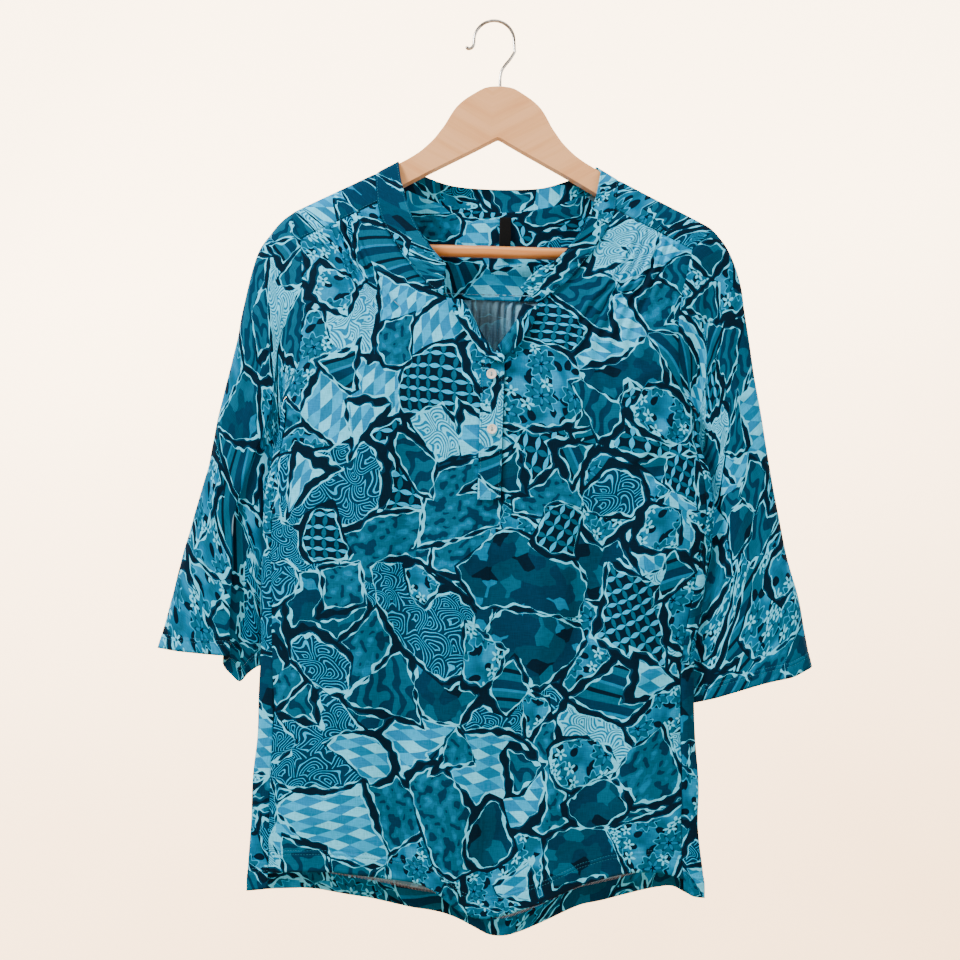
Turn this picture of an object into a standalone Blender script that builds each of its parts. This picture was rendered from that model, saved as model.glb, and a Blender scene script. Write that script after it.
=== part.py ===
"""Women's popover blouse with three-quarter sleeves, hanging on a flat wooden hanger.

Sizes are in millimetres. Each point is written as (across, down, depth): across and down run from
the notch under the middle of the hanger, to the right and downwards, and depth runs from the middle
of the hanger's wood, with the front of the blouse at negative depths. The finished object stands in
metres with its origin at the inner top of the hook, Z up and the front facing -Y.

Outlines of the panels and sleeves were read off a front view taken from VIEW_DISTANCE away, so level()
takes that view's perspective out of them. The yoke's and the neck band's rows are true sizes.
"""

import math

import bmesh
import bpy
import numpy as np

# Where the hook holds the hanger, from the notch under the hanger's middle.
HOOK_REST_ACROSS = -6.7
HOOK_REST_DOWN = -116.3

# The front view that the outlines were read from.
VIEW_DISTANCE = 1050.0
VIEW_ACROSS = -8.5
VIEW_DOWN = 341.4

# Cloth and seams.
CLOTH = 1.1
BAND_CLOTH = 1.7
PLACKET_CLOTH = 1.5
PLACKET_UNDER_DEPTH = 0.3
PLACKET_TOP_DEPTH = PLACKET_UNDER_DEPTH + PLACKET_CLOTH + 0.3
SEAM_GAP = 0.3

# Hanger.
WOOD_THICKNESS = 12.0
WOOD_ROUNDING = 3.0
HOOK_WIRE = 3.0
HOOK_ARC = 21.5
BAR_DIAMETER = 12.0
BAR_TENON_DIAMETER = 6.0
BAR_TENON_LENGTH = 14.5
BAR_SOCKET_ACROSS = 192.5
BAR_SOCKET_LENGTH = 16.0
BAR_DOWN = 113.5
BAR_HALF = 184.5
SOCKET_PLAY = 0.6

# Buttons, placket and label.
BUTTON_DIAMETER = 9.5
BUTTON_THICKNESS = 2.2
BUTTON_HOLE = 1.5
BUTTON_HOLE_PITCH = 2.6
PLACKET_LEFT = -10.5
PLACKET_RIGHT = 12.5
PLACKET_BOTTOM = 357.0
LABEL_TOP = 78.5
LABEL_LENGTH = 41.0
LABEL_ACROSS = np.array([3.8, 9.5, 15.3])
LABEL_DEPTH = 17.2
LABEL_SAG = 1.5
LABEL_CLOTH = 1.0

# Body sections: down, half-width left, half-width right, depth of the side fold, of the front, of the back.
BODY = np.array([
    (20, 276, 276, -1, -11, 17),
    (64, 264, 266, -2, -15, 20),
    (105, 252, 250, -3, -20.5, 22),
    (166, 236, 230, -5, -29, 24),
    (214, 223, 214, -6, -35, 25),
    (267, 207, 206, -7, -38, 26),
    (292, 210, 209, -8, -38, 26),
    (341, 221, 225, -8, -37, 26),
    (390, 225, 226, -8, -35, 26),
    (451, 224.5, 218, -8, -33, 25),
    (516, 224, 211, -8, -31, 24),
    (567, 222.5, 212, -8, -29, 23),
    (628, 227, 219, -8, -27, 22),
    (688, 230, 222, -8, -25, 21),
    (738, 233, 229, -8, -23, 20),
    (800, 235, 232, -8, -21, 19),
])

# How far the side seam sits in front of the side fold: down, distance.
SIDE_SEAM = np.array([(267, 2.5), (341, 7), (451, 10), (567, 14), (688, 20), (800, 26)])

# Folds of the front: across and down at the top, across and down at the bottom, half-width, height.
FRONT_FOLDS = np.array([
    (-112, 240, -128, 740, 26, 4.5),
    (-78, 330, -84, 745, 24, -3.5),
    (-172, 380, -180, 735, 20, 3.5),
    (-182, 250, -130, 420, 22, -4.5),
    (-30, 420, -36, 780, 24, 3.0),
    (24, 400, 26, 780, 24, -2.5),
    (66, 380, 72, 760, 24, 3.5),
    (110, 260, 116, 735, 24, -3.5),
    (152, 300, 160, 725, 24, 4.5),
    (182, 256, 124, 410, 20, -4.5),
])

# Folds of the back, in the same columns.
BACK_FOLDS = np.array([
    (-24, 210, -38, 760, 22, 4.0),
    (26, 210, 42, 760, 22, 3.5),
    (-112, 240, -128, 740, 28, 4.0),
    (112, 240, 126, 735, 28, 4.0),
    (-72, 300, -84, 740, 24, -3.5),
    (76, 310, 84, 740, 24, -3.5),
    (-168, 380, -178, 740, 22, 3.0),
    (160, 360, 170, 735, 22, 3.0),
])

# Shoulder seam of the yoke, from the front seam over the hanger to the middle of the back:
# at the neck across, down, depth; at the armhole or back seam, left side and right side.
YOKE_RIBS = np.array([
    (116.8, 69.9, -15.0, 191.8, 108.9, -16.9, 194.0, 108.9, -16.9),
    (118.7, 54.2, -11.5, 196.6, 99.3, -13.6, 201.5, 101.0, -13.6),
    (120.0, 44.0, -8.8, 202.0, 87.0, -9.5, 212.0, 91.0, -9.5),
    (119.6, 39.2, -5.4, 203.8, 82.0, -5.4, 215.3, 85.8, -5.4),
    (119.4, 38.0, 0.0, 204.0, 80.6, 0.0, 216.0, 84.2, 0.0),
    (119.2, 39.2, 5.4, 204.0, 82.2, 5.4, 215.6, 85.8, 5.4),
    (117.5, 44.0, 8.8, 203.0, 88.0, 9.8, 213.0, 92.0, 9.8),
    (109.2, 45.7, 12.0, 202.8, 101.5, 15.5, 210.2, 104.6, 15.5),
    (91.3, 51.9, 15.0, 200.4, 128.2, 19.0, 201.7, 130.2, 19.0),
    (76.2, 57.5, 16.8, 199.8, 158.4, 21.0, 196.0, 158.4, 21.0),
    (61.0, 62.8, 18.2, 155.2, 158.5, 23.4, 153.5, 158.5, 23.4),
    (45.8, 66.0, 19.4, 114.4, 158.4, 23.9, 114.7, 158.4, 23.9),
    (30.6, 68.7, 20.2, 76.5, 158.2, 24.0, 76.9, 158.2, 24.0),
    (15.3, 70.3, 20.8, 37.7, 157.9, 24.0, 38.0, 157.9, 24.0),
    (0.0, 71.0, 21.0, -0.2, 157.9, 24.0, 0.2, 157.9, 24.0),
])

# Neck band: seam across, down, depth; free edge across, down, depth. Front end first.
BAND_LEFT = np.array([
    (-49.3, 161.9, -30.5, -47.3, 133.2, -32.5),
    (-59.5, 155.4, -29.5, -53.6, 126.6, -31.5),
    (-76.2, 138.4, -27.0, -63.4, 114.6, -29.5),
    (-90.1, 121.2, -24.0, -76.3, 96.2, -26.0),
    (-100.1, 105.9, -21.5, -85.3, 77.8, -22.5),
    (-109.2, 91.0, -18.5, -90.5, 62.0, -18.5),
    (-116.2, 69.9, -15.0, -94.9, 45.8, -13.5),
    (-118.2, 54.2, -11.5, -97.4, 32.5, -9.6),
    (-119.2, 44.0, -8.8, -98.0, 29.3, -7.6),
    (-118.8, 39.2, -5.4, -98.2, 27.4, -4.8),
    (-118.6, 38.0, 0.0, -98.2, 26.8, 0.0),
    (-118.4, 39.2, 5.4, -97.8, 27.4, 4.8),
    (-116.8, 43.8, 8.8, -95.5, 30.5, 8.6),
    (-108.5, 45.3, 12.0, -83.9, 31.9, 12.5),
    (-90.8, 51.3, 15.0, -69.9, 36.5, 15.8),
    (-75.9, 56.8, 16.8, -58.8, 40.0, 17.6),
    (-60.7, 62.0, 18.2, -47.7, 42.7, 18.8),
    (-45.6, 65.3, 19.4, -35.5, 44.1, 19.8),
    (-30.4, 67.9, 20.2, -23.3, 44.8, 20.5),
    (-15.1, 69.6, 20.8, -11.6, 45.1, 20.9),
    (0.2, 70.3, 21.0, 0.2, 45.2, 21.0),
])
BAND_RIGHT_FRONT = np.array([
    (42.5, 167.3, -31.0, 25.4, 154.1, -33.0),
    (54.2, 158.4, -30.0, 37.6, 139.4, -32.0),
    (74.8, 139.3, -27.0, 60.0, 124.9, -30.0),
    (89.7, 121.2, -24.0, 75.8, 106.1, -26.5),
    (99.7, 105.9, -21.5, 86.8, 87.8, -23.5),
    (108.9, 91.0, -18.5, 95.1, 68.0, -19.0),
    (116.0, 69.9, -15.0, 99.5, 49.9, -14.0),
    (118.0, 54.2, -11.5, 102.0, 35.5, -9.9),
    (119.2, 44.0, -8.8, 102.0, 31.3, -7.6),
])

# Front panel rows: down at the armhole or side; neck or placket edge, left across and down, right across and down.
FRONT_ROWS = np.array([
    (105.0, -118.2, 66.6, 118.2, 66.6),
    (110.0, -111.6, 87.2, 111.6, 87.2),
    (121.0, -102.6, 101.8, 102.6, 101.8),
    (135.0, -92.5, 116.9, 92.5, 116.9),
    (150.0, -78.3, 133.9, 77.4, 134.9),
    (163.0, -61.2, 151.0, 56.3, 154.0),
    (175.0, -50.0, 158.0, 45.0, 163.5),
    (186.0, -35.0, 169.0, 33.5, 177.0),
    (199.0, -24.0, 187.0, 22.0, 192.0),
    (216.0, -9.0, 213.0, 13.2, 210.0),
    (240.0, -9.0, 238.0, 13.2, 236.0),
    (267.0, -9.0, 266.0, 13.2, 266.0),
    (296.0, -9.0, 295.0, 13.2, 295.0),
    (326.0, -9.0, 326.0, 13.2, 326.0),
    (357.0, -9.0, 357.0, 13.2, 357.0),
])
FRONT_LOWER_ROWS = 8
FRONT_SEAM_DEPTH = np.array([(118.2, -15.0), (197.5, -16.9)])
FRONT_GATHER_RISE = np.array([(0, 0.35), (1, 1.2), (2, 1.7), (5, 1.9), (8, 1.2), (11, 0.5), (13, 0)])
EVEN_FROM_ROW = 6
EVEN_OVER_ROWS = 8
SIDE_SHARES = np.array([0, 0.012, 0.04])
LOWER_START = 357.0
LOWER_END = 738.0

# Front armholes: down, left across, right across.
ARMHOLE_FRONT = np.array([
    (105, 195, 197.5),
    (135, 192.5, 191.5),
    (166, 192, 187),
    (209, 192, 186.5),
    (230, 195, 189),
    (249, 200, 194),
    (267, 205, 203),
])

# Back armholes: down, left across, right across, depth.
ARMHOLE_BACK = np.array([
    (163, 196, 192, 21),
    (190, 195, 190, 21),
    (215, 194, 189, 18),
    (240, 197, 192, 11),
    (257, 202, 194.5, -4),
    (267, 205, 203.5, -12),
])

# Hems: across, down.
FRONT_HEM = np.array([
    (-212, 741), (-194, 739), (-173, 738), (-148, 738), (-117, 740), (-85, 743), (-57, 748),
    (-41, 755), (-22, 770), (-8, 777), (6, 779.5), (23, 777), (49, 768.5), (64, 763), (83, 754),
    (103, 744), (129, 736), (154, 730), (169, 729), (184, 729), (203, 734), (212, 737),
])
BACK_HEM = np.array([
    (-236, 759), (-219, 757), (-189, 754), (-156, 755), (-135, 758), (-117, 760), (-57, 771),
    (-38, 773), (-21, 779), (-2, 788), (10, 794), (25, 796), (42, 792), (60, 784), (84, 772),
    (101, 764), (124, 758), (148, 751), (165, 746), (185, 742), (203, 743), (216, 752), (234, 751),
])

# Sleeves: outer edge from the shoulder to the hem (down, left across, right across, depth).
SLEEVE_OUTER = np.array([
    (81, 204, 216, 0),
    (88, 211.5, 220.5, 0.5),
    (103, 226.5, 231, 1),
    (118, 235, 238.5, 2),
    (139, 242, 246, 2),
    (172, 248, 252, 2),
    (234, 260, 264, 2),
    (290, 272, 275, 2),
    (364, 286, 290, 2),
    (413, 300, 302, 2),
    (457, 311, 314, 2),
    (518, 326, 328, 2),
])
# Inner edge from the underarm to the hem (down, left across, right across, depth).
SLEEVE_INNER = np.array([
    (267, 205, 203, -7),
    (273, 210.5, 209.5, -4),
    (281, 212.5, 212, 2.5),
    (296, 213, 213, 8),
    (325, 213, 213, 10.5),
    (390, 211, 208, 12),
    (451, 213, 206, 12.5),
    (516, 215, 204, 12.5),
    (532, 216, 204, 12.5),
])
# Sleeve hems: share of the way round from outer edge to inner edge, across, down, depth.
HEM_LEFT_FRONT = np.array([
    (0.0, -326, 518, 2), (0.02, -325.5, 518.2, -3), (0.08, -320, 519, -9), (0.25, -305, 521, -13),
    (0.5, -277, 523, -15), (0.66, -251, 525, -14.5), (0.72, -256.5, 533, -4.0),
    (0.82, -242, 551, -2.0), (0.93, -229, 536, 2.5), (0.98, -218, 531, 7.5), (1.0, -216, 530, 12.5),
])
HEM_RIGHT_FRONT = np.array([
    (0.0, 328, 518, 2), (0.02, 327.8, 519, -3), (0.08, 324, 521.5, -9), (0.25, 310, 529.5, -14),
    (0.5, 280, 537.5, -15), (0.75, 248, 548.0, -11), (0.9, 222, 556, -4.0), (0.97, 208, 558.5, 3.5),
    (1.0, 204, 559, 12.5),
])
SLEEVE_HEM_INNER_DOWN = (530.0, 559.0)
SLEEVE_BACK_DEPTH = 24.0
# The left sleeve's upright fold: its column, and its across.
LEFT_CREASE_COLUMN = 9
LEFT_CREASE = -249.5
LEFT_SHARES = np.array([(0, 0), (1, 0.025), (3, 0.1), (4, 0.17), (LEFT_CREASE_COLUMN, 0.66)])
# The underarm point from the front's last one, and the gap to the armhole's edges: down, gap.
UNDERARM_STEP = (3.0, -3.0, 3.0)
ARMHOLE_GAP = np.array([(160, SEAM_GAP + 0.1), (215, SEAM_GAP + 0.8), (255, SEAM_GAP + 2.6)])
SLEEVE_ROWS = np.concatenate([np.linspace(0, 0.3, 7)[:-1], np.linspace(0.3, 1, 10)])
SLEEVE_TURN = 30.0
# The ribs of the yoke that a sleeve's head follows.
RIB_TOP = 4
RIB_BACK_END = 10

# Hanger outline, right half: across, down. Top from the hook to the end, then back along the under side.
WOOD_OUTLINE = np.array([
    (0, -50.5), (13, -49), (25, -42.5), (34, -36.5), (42, -29), (48, -20), (53, -11), (58, -4),
    (64, 4), (70, 10), (76, 15.5), (86, 22.5), (97, 28.8), (130, 45.6), (165, 63.4), (194, 78.2),
    (204, 84.2), (210.5, 92), (213, 102), (211, 113), (205, 120.5), (197, 123), (190, 120.5),
    (187, 113.5), (186.5, 106), (180, 98), (165, 90), (130, 70.5), (97, 52.5), (73, 39), (49, 26.2),
    (24, 13), (6, 3.2), (0, 0),
])

# Lapels of the placket: fold line and free edge from the top down.
LAPEL_LEFT_FOLD = np.array([(-31.5, 162), (-25, 171), (-18, 183), (-6.5, 202), (1.0, 213)])
LAPEL_LEFT_EDGE = np.array([(-47.5, 160), (-37.5, 178), (-27.5, 193), (-17.0, 207), (-9.0, 217)])
LAPEL_RIGHT_FOLD = np.array([(30, 164), (27, 172), (23, 182), (18, 190), (12, 199), (6.5, 207)])
LAPEL_RIGHT_EDGE = np.array([(45.5, 167), (43.5, 174), (40.5, 183), (36, 191), (29, 201), (20, 211)])

# Gathers under the front yoke seam: share of the way from armhole to neck where they start and end.
GATHERS_LEFT = (0.36, 0.68, 5)
GATHERS_RIGHT = (0.20, 0.72, 6)
# The back's are in millimetres from its middle.
GATHERS_BACK = (-31.0, 27.0, 8)

# Back panel: downs of its upper rows, width under the yoke, places across near the sides, hem at the side
# seams, and how high the gathers stand at each row.
BACK_LEVELS = np.array([163, 172, 186, 204, 224, 242, 256, 267, 296, 326, 357])
BACK_WIDTH = 388.0
BACK_SHARES = np.array([0, 0.012, 0.035, 0.07, 0.11, 0.16, 0.22, 0.28, 0.34, 0.39])
BACK_HEM_END = 757.0
BACK_GATHER_RISE = np.array([(0, 0.5), (1, 1.5), (3, 1.9), (5, 1.4), (10, 0)])
BACK_EVEN_FROM = 300.0
BACK_EVEN_OVER = 160.0

# Yoke facing: the rib that it starts from, and how far it lies in front of the yoke.
FACING_FROM = 8
FACING_GAP = 1.9

# A lapel's section from under the fold to the free edge: share of its width, and height over the front.
LAPEL_SECTION = np.array([(0.22, 2.2), (0.03, 3.2), (0.0, 5.2), (0.16, 7.0), (0.55, 6.6), (1.0, 5.4)])

# Where the upper layer of the placket curls over: across, down, depth before the front.
PLACKET_TURN = np.array([
    (-10.0, 221.5, -5.2), (-5.0, 218.0, -5.6), (1.0, 215.5, -6.4),
    (8.0, 215.0, -8.0), (12.0, 218.0, -10.0), (9.0, 222.5, -11.6),
])
PLACKET_TURN_DOWN = 218.0
PLACKET_DOWNS = np.array([228, 240, 255, 275, 300, 325, 345, PLACKET_BOTTOM + 4])
PLACKET_LIFT = np.array([(228, 1.1), (255, 0)])
PLACKET_UNDER_SHIFT = (2.4, 0.1)
PLACKET_UNDER_END = PLACKET_BOTTOM - 1.5

# Looks: colour, roughness, metallic.
TEAL = ((0.016, 0.21, 0.29), 0.8, 0.0)
TEAL_DARK = ((0.008, 0.085, 0.13), 0.8, 0.0)
TEAL_PALE = ((0.16, 0.48, 0.58), 0.8, 0.0)
WOOD = ((0.72, 0.47, 0.29), 0.4, 0.0)
BAR_WOOD = ((0.62, 0.33, 0.16), 0.45, 0.0)
CHROME = ((0.72, 0.72, 0.72), 0.2, 1.0)
BLACK = ((0.02, 0.02, 0.022), 0.7, 0.0)
PEARL = ((0.86, 0.83, 0.76), 0.3, 0.0)


def clear_scene():
    for thing in list(bpy.data.objects):
        bpy.data.objects.remove(thing, do_unlink=True)


def new_collection(name, helper=False):
    group = bpy.data.collections.new(name)
    bpy.context.scene.collection.children.link(group)
    group.hide_render = helper
    return group


def level(points):
    """Takes the front view's perspective out of (across, down, depth) rows."""
    points = np.array(points, float)
    scale = 1 + points[..., 2] / VIEW_DISTANCE
    points[..., 0] = VIEW_ACROSS + (points[..., 0] - VIEW_ACROSS) * scale
    points[..., 1] = VIEW_DOWN + (points[..., 1] - VIEW_DOWN) * scale
    return points


def place(points):
    """Millimetres from the notch to metres from the hook, Z up."""
    points = np.asarray(points, float)
    return np.stack([
        points[..., 0] - HOOK_REST_ACROSS,
        points[..., 2],
        HOOK_REST_DOWN - points[..., 1],
    ], axis=-1) / 1000


def smooth_at(x, keys, values):
    """Reads a table at x along a smooth curve through its rows."""
    keys = np.asarray(keys, float)
    values = np.asarray(values, float)
    x = np.clip(np.asarray(x, float), keys[0], keys[-1])
    slopes = np.gradient(values, keys)
    i = np.clip(np.searchsorted(keys, x, side="right") - 1, 0, len(keys) - 2)
    step = keys[i + 1] - keys[i]
    t = (x - keys[i]) / step
    return (
        (2 * t**3 - 3 * t**2 + 1) * values[i]
        + (t**3 - 2 * t**2 + t) * step * slopes[i]
        + (3 * t**2 - 2 * t**3) * values[i + 1]
        + (t**3 - t**2) * step * slopes[i + 1]
    )


def line_at(x, keys, rows):
    """Reads each column of a table at x, straight between its rows."""
    rows = np.asarray(rows, float)
    return np.stack([np.interp(x, keys, rows[:, c]) for c in range(rows.shape[1])], axis=-1)


def along(rows, shares):
    """Points at these shares of the length of a smooth curve through the rows."""
    rows = np.asarray(rows, float)
    steps = np.linalg.norm(np.diff(rows, axis=0), axis=1)
    keys = np.concatenate([[0], np.cumsum(steps)])
    fine = np.linspace(0, keys[-1], 400)
    points = np.stack([smooth_at(fine, keys, rows[:, c]) for c in range(rows.shape[1])], axis=-1)
    steps = np.linalg.norm(np.diff(points, axis=0), axis=1)
    lengths = np.concatenate([[0], np.cumsum(steps)])
    return line_at(np.asarray(shares) * lengths[-1], lengths, points)


def folds_at(across, down, table):
    """Sum of soft ridges and troughs along the table's lines."""
    total = np.zeros(np.broadcast(across, down).shape)
    for top_across, top_down, end_across, end_down, half, height in table:
        run = np.array([end_across - top_across, end_down - top_down])
        length = np.linalg.norm(run)
        run = run / length
        way = (across - top_across) * run[0] + (down - top_down) * run[1]
        off = (across - top_across) * run[1] - (down - top_down) * run[0]
        share = np.clip(way / length, -0.25, 1.1)
        fade = np.clip((share + 0.25) / 0.35, 0, 1)
        fade = fade * fade * (3 - 2 * fade)
        total = total + height * fade * np.exp(-((off / half) ** 2))
    return total


def half_width(across, down):
    left = smooth_at(down, BODY[:, 0], BODY[:, 1])
    right = smooth_at(down, BODY[:, 0], BODY[:, 2])
    return np.where(np.asarray(across) < 0, left, right)


def front_depth(across, down):
    """Depth of the middle of the front's cloth."""
    nose = smooth_at(down, BODY[:, 0], BODY[:, 3])
    deep = smooth_at(down, BODY[:, 0], BODY[:, 4])
    share = np.clip(np.abs(across) / half_width(across, down), 0, 1)
    round_off = (1 - share**3.2) ** (1 / 2.4)
    return nose + (deep - nose) * round_off - folds_at(across, down, FRONT_FOLDS) * (1 - share**6)


def back_depth(across, down):
    """Depth of the middle of the back's cloth."""
    nose = smooth_at(down, BODY[:, 0], BODY[:, 3])
    deep = smooth_at(down, BODY[:, 0], BODY[:, 5])
    share = np.clip(np.abs(across) / half_width(across, down), 0, 1)
    hanging = nose + (deep - nose) * (1 - share**2.6) ** 0.6
    keys = ARMHOLE_BACK[:, 0]
    edge_left = smooth_at(down, keys, ARMHOLE_BACK[:, 1])
    edge_right = smooth_at(down, keys, ARMHOLE_BACK[:, 2])
    edge = np.where(np.asarray(across) < 0, edge_left, edge_right)
    edge_depth = smooth_at(down, keys, ARMHOLE_BACK[:, 3])
    near = np.clip(np.abs(across) / edge, 0, 1)
    upper = deep - (deep - edge_depth) * near**6
    mix = np.clip((down - 250) / 60, 0, 1)
    mix = mix * mix * (3 - 2 * mix)
    shape = upper * (1 - mix) + hanging * mix
    return shape + folds_at(across, down, BACK_FOLDS) * (1 - share**6)


def on_front(across, down):
    across = np.asarray(across, float)
    down = np.asarray(down, float)
    return np.stack([across, down, front_depth(across, down)], axis=-1)


def finish(name, thing, look, group):
    thing.name = name
    thing.data.name = name
    material = bpy.data.materials.new(name)
    material.use_nodes = True
    shader = material.node_tree.nodes["Principled BSDF"]
    colour, roughness, metallic = look
    shader.inputs["Base Color"].default_value = (*colour, 1)
    shader.inputs["Roughness"].default_value = roughness
    shader.inputs["Metallic"].default_value = metallic
    material.diffuse_color = (*colour, 1)
    thing.data.materials.clear()
    thing.data.materials.append(material)
    for old in list(thing.users_collection):
        old.objects.unlink(thing)
    group.objects.link(thing)
    return thing


def cloth(name, grid, thickness, look, group, skip=None, ring=False):
    """A wall of cloth through a grid of points, rows by columns; ring joins the last column to the first."""
    rows, columns = grid.shape[:2]
    faces = []
    for r in range(rows - 1):
        for c in range(columns if ring else columns - 1):
            if skip is not None and skip(r, c):
                continue
            d = (c + 1) % columns
            faces.append((r * columns + c, r * columns + d, (r + 1) * columns + d, (r + 1) * columns + c))
    used = sorted({i for face in faces for i in face})
    renumber = {old: new for new, old in enumerate(used)}
    points = place(grid.reshape(-1, 3))[used]
    mesh = bpy.data.meshes.new(name)
    mesh.from_pydata(points.tolist(), [], [[renumber[i] for i in face] for face in faces])
    mesh.shade_smooth()
    thing = bpy.data.objects.new(name, mesh)
    finish(name, thing, look, group)
    wall = thing.modifiers.new("Wall", "SOLIDIFY")
    wall.thickness = thickness / 1000
    wall.offset = 0.0
    wall.use_rim = True
    return thing


def pull_in(grid, distance, sides):
    """Moves the named edge rows and columns of a grid inwards by a distance, to leave the seam gap."""
    grid = grid.copy()
    pairs = {"top": (np.s_[0], np.s_[1]), "bottom": (np.s_[-1], np.s_[-2])}
    for side in sides:
        if side in pairs:
            edge, inner = pairs[side]
            run = grid[inner] - grid[edge]
            grid[edge] += run / np.linalg.norm(run, axis=-1, keepdims=True) * distance
        else:
            edge, inner = {"left": (0, 1), "right": (-1, -2)}[side]
            run = grid[:, inner] - grid[:, edge]
            grid[:, edge] += run / np.linalg.norm(run, axis=-1, keepdims=True) * distance
    return grid


def side_seam(down, side):
    """Across of the side seam, or of the front armhole above the underarm."""
    column = 1 if side < 0 else 2
    armhole = smooth_at(down, ARMHOLE_FRONT[:, 0], ARMHOLE_FRONT[:, column])
    seam = smooth_at(down, BODY[:, 0], BODY[:, column]) - smooth_at(down, SIDE_SEAM[:, 0], SIDE_SEAM[:, 1])
    mix = np.clip((down - 255) / 25, 0, 1)
    return side * (armhole * (1 - mix) + seam * mix)


def gather_shares(start, end, pleats, before, after):
    """Column shares with two columns to each pleat and even ones before and after them."""
    first = np.linspace(0, start, before + 1)[:-1]
    middle = np.linspace(start, end, 2 * pleats + 1)
    last = np.linspace(end, 1, after + 1)[1:]
    return np.concatenate([first, middle, last])


def lower_levels():
    """Downs of the side seam's points below the placket, the same for front and back."""
    return LOWER_START + (LOWER_END - LOWER_START) * np.arange(1, FRONT_LOWER_ROWS + 1) / FRONT_LOWER_ROWS


def front_half(side, gathers, before, after):
    """Rows of one half of the front from the yoke seam to the hem, from the side to the middle."""
    start, end, pleats = gathers
    shares = gather_shares(start, end, pleats, before, after)
    shares = np.concatenate([SIDE_SHARES, shares[1:]])
    evenly = np.concatenate([SIDE_SHARES, np.linspace(SIDE_SHARES[-1], 1, len(shares) - 2)[1:]])
    inner = 1 if side < 0 else 3
    upper = []
    for number, row in enumerate(FRONT_ROWS):
        spread = np.clip((number - EVEN_FROM_ROW) / EVEN_OVER_ROWS, 0, 1)
        here = shares + (evenly - shares) * spread
        down = row[0]
        outer_across = side_seam(down, side)
        across = outer_across + (row[inner] - outer_across) * here
        downs = down + (row[inner + 1] - down) * here
        upper.append(np.stack([across, downs], axis=-1))
    last = upper[-1]
    lower = []
    for down in lower_levels():
        share = (down - LOWER_START) / (LOWER_END - LOWER_START)
        outer_across = side_seam(down, side)
        across = outer_across + (last[-1, 0] - outer_across) * evenly
        hem = np.interp(across, FRONT_HEM[:, 0], FRONT_HEM[:, 1])
        lower.append(np.stack([across, down + (hem - LOWER_END) * share], axis=-1))
    flat = np.array(upper + lower)
    grid = on_front(flat[..., 0], flat[..., 1])
    seam_depth = np.interp(np.abs(flat[0, :, 0]), FRONT_SEAM_DEPTH[:, 0], FRONT_SEAM_DEPTH[:, 1])
    grid[0, :, 2] = seam_depth
    grid[1, :, 2] += (seam_depth - front_depth(flat[0, :, 0], flat[0, :, 1])) * 0.5
    ridge = np.where((shares > start + 1e-6) & (shares < end - 1e-6), 1.0, 0.0)
    turn = np.round((shares - start) / ((end - start) / (2 * pleats)))
    wave = ridge * np.where(turn % 2 == 0, -1, 1)
    rise = np.interp(np.arange(len(flat)), FRONT_GATHER_RISE[:, 0], FRONT_GATHER_RISE[:, 1])
    grid[..., 2] -= rise[:, None] * wave[None, :]
    return grid


def build_front(group):
    left = front_half(-1, GATHERS_LEFT, 4, 5)
    right = front_half(1, GATHERS_RIGHT, 3, 5)[:, ::-1]
    middle = np.stack([(left[:, -1] + right[:, 0]) / 2], axis=1)
    hem = np.interp(middle[-1, 0, 0], FRONT_HEM[:, 0], FRONT_HEM[:, 1])
    middle[-1, 0, 1] = hem
    middle[:, 0, 2] = front_depth(middle[:, 0, 0], middle[:, 0, 1])
    grid = level(np.concatenate([left, middle, right], axis=1))
    grid = pull_in(grid, SEAM_GAP / 2 + 0.1, ["left", "right"])
    grid = pull_in(grid, SEAM_GAP, ["top"])
    slit = (left.shape[1] - 1, left.shape[1])
    first_whole = len(FRONT_ROWS) - 1
    cloth("front", grid, CLOTH, TEAL, group, skip=lambda r, c: c in slit and r < first_whole)


def back_row(low):
    """One row of the back from side seam to side seam, as a fine line."""
    if low < 266:
        left = -smooth_at(low, ARMHOLE_BACK[:, 0], ARMHOLE_BACK[:, 1])
        right = smooth_at(low, ARMHOLE_BACK[:, 0], ARMHOLE_BACK[:, 2])
        across = np.linspace(left, right, 241)
        return np.stack([across, np.full_like(across, low), back_depth(across, low)], axis=-1)
    left_nose = smooth_at(low, BODY[:, 0], BODY[:, 1])
    right_nose = smooth_at(low, BODY[:, 0], BODY[:, 2])
    turn = np.linspace(-np.pi / 2, np.pi / 2, 361)
    spread = np.sin(turn)
    across = np.where(spread < 0, left_nose, right_nose) * spread
    back = np.stack([across, np.full_like(across, low), back_depth(across, low)], axis=-1)
    pieces = [back]
    for side in (-1, 1):
        nose = left_nose if side < 0 else right_nose
        seam = abs(side_seam(low, side))
        run = np.linspace(0, 1, 24)[:-1]
        wrapped = side * (seam + (nose - seam) * np.sin(run * np.pi / 2))
        strip = on_front(wrapped, np.full_like(wrapped, low))
        if side < 0:
            pieces.insert(0, strip)
        else:
            pieces.append(strip[::-1])
    return np.concatenate(pieces)


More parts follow.
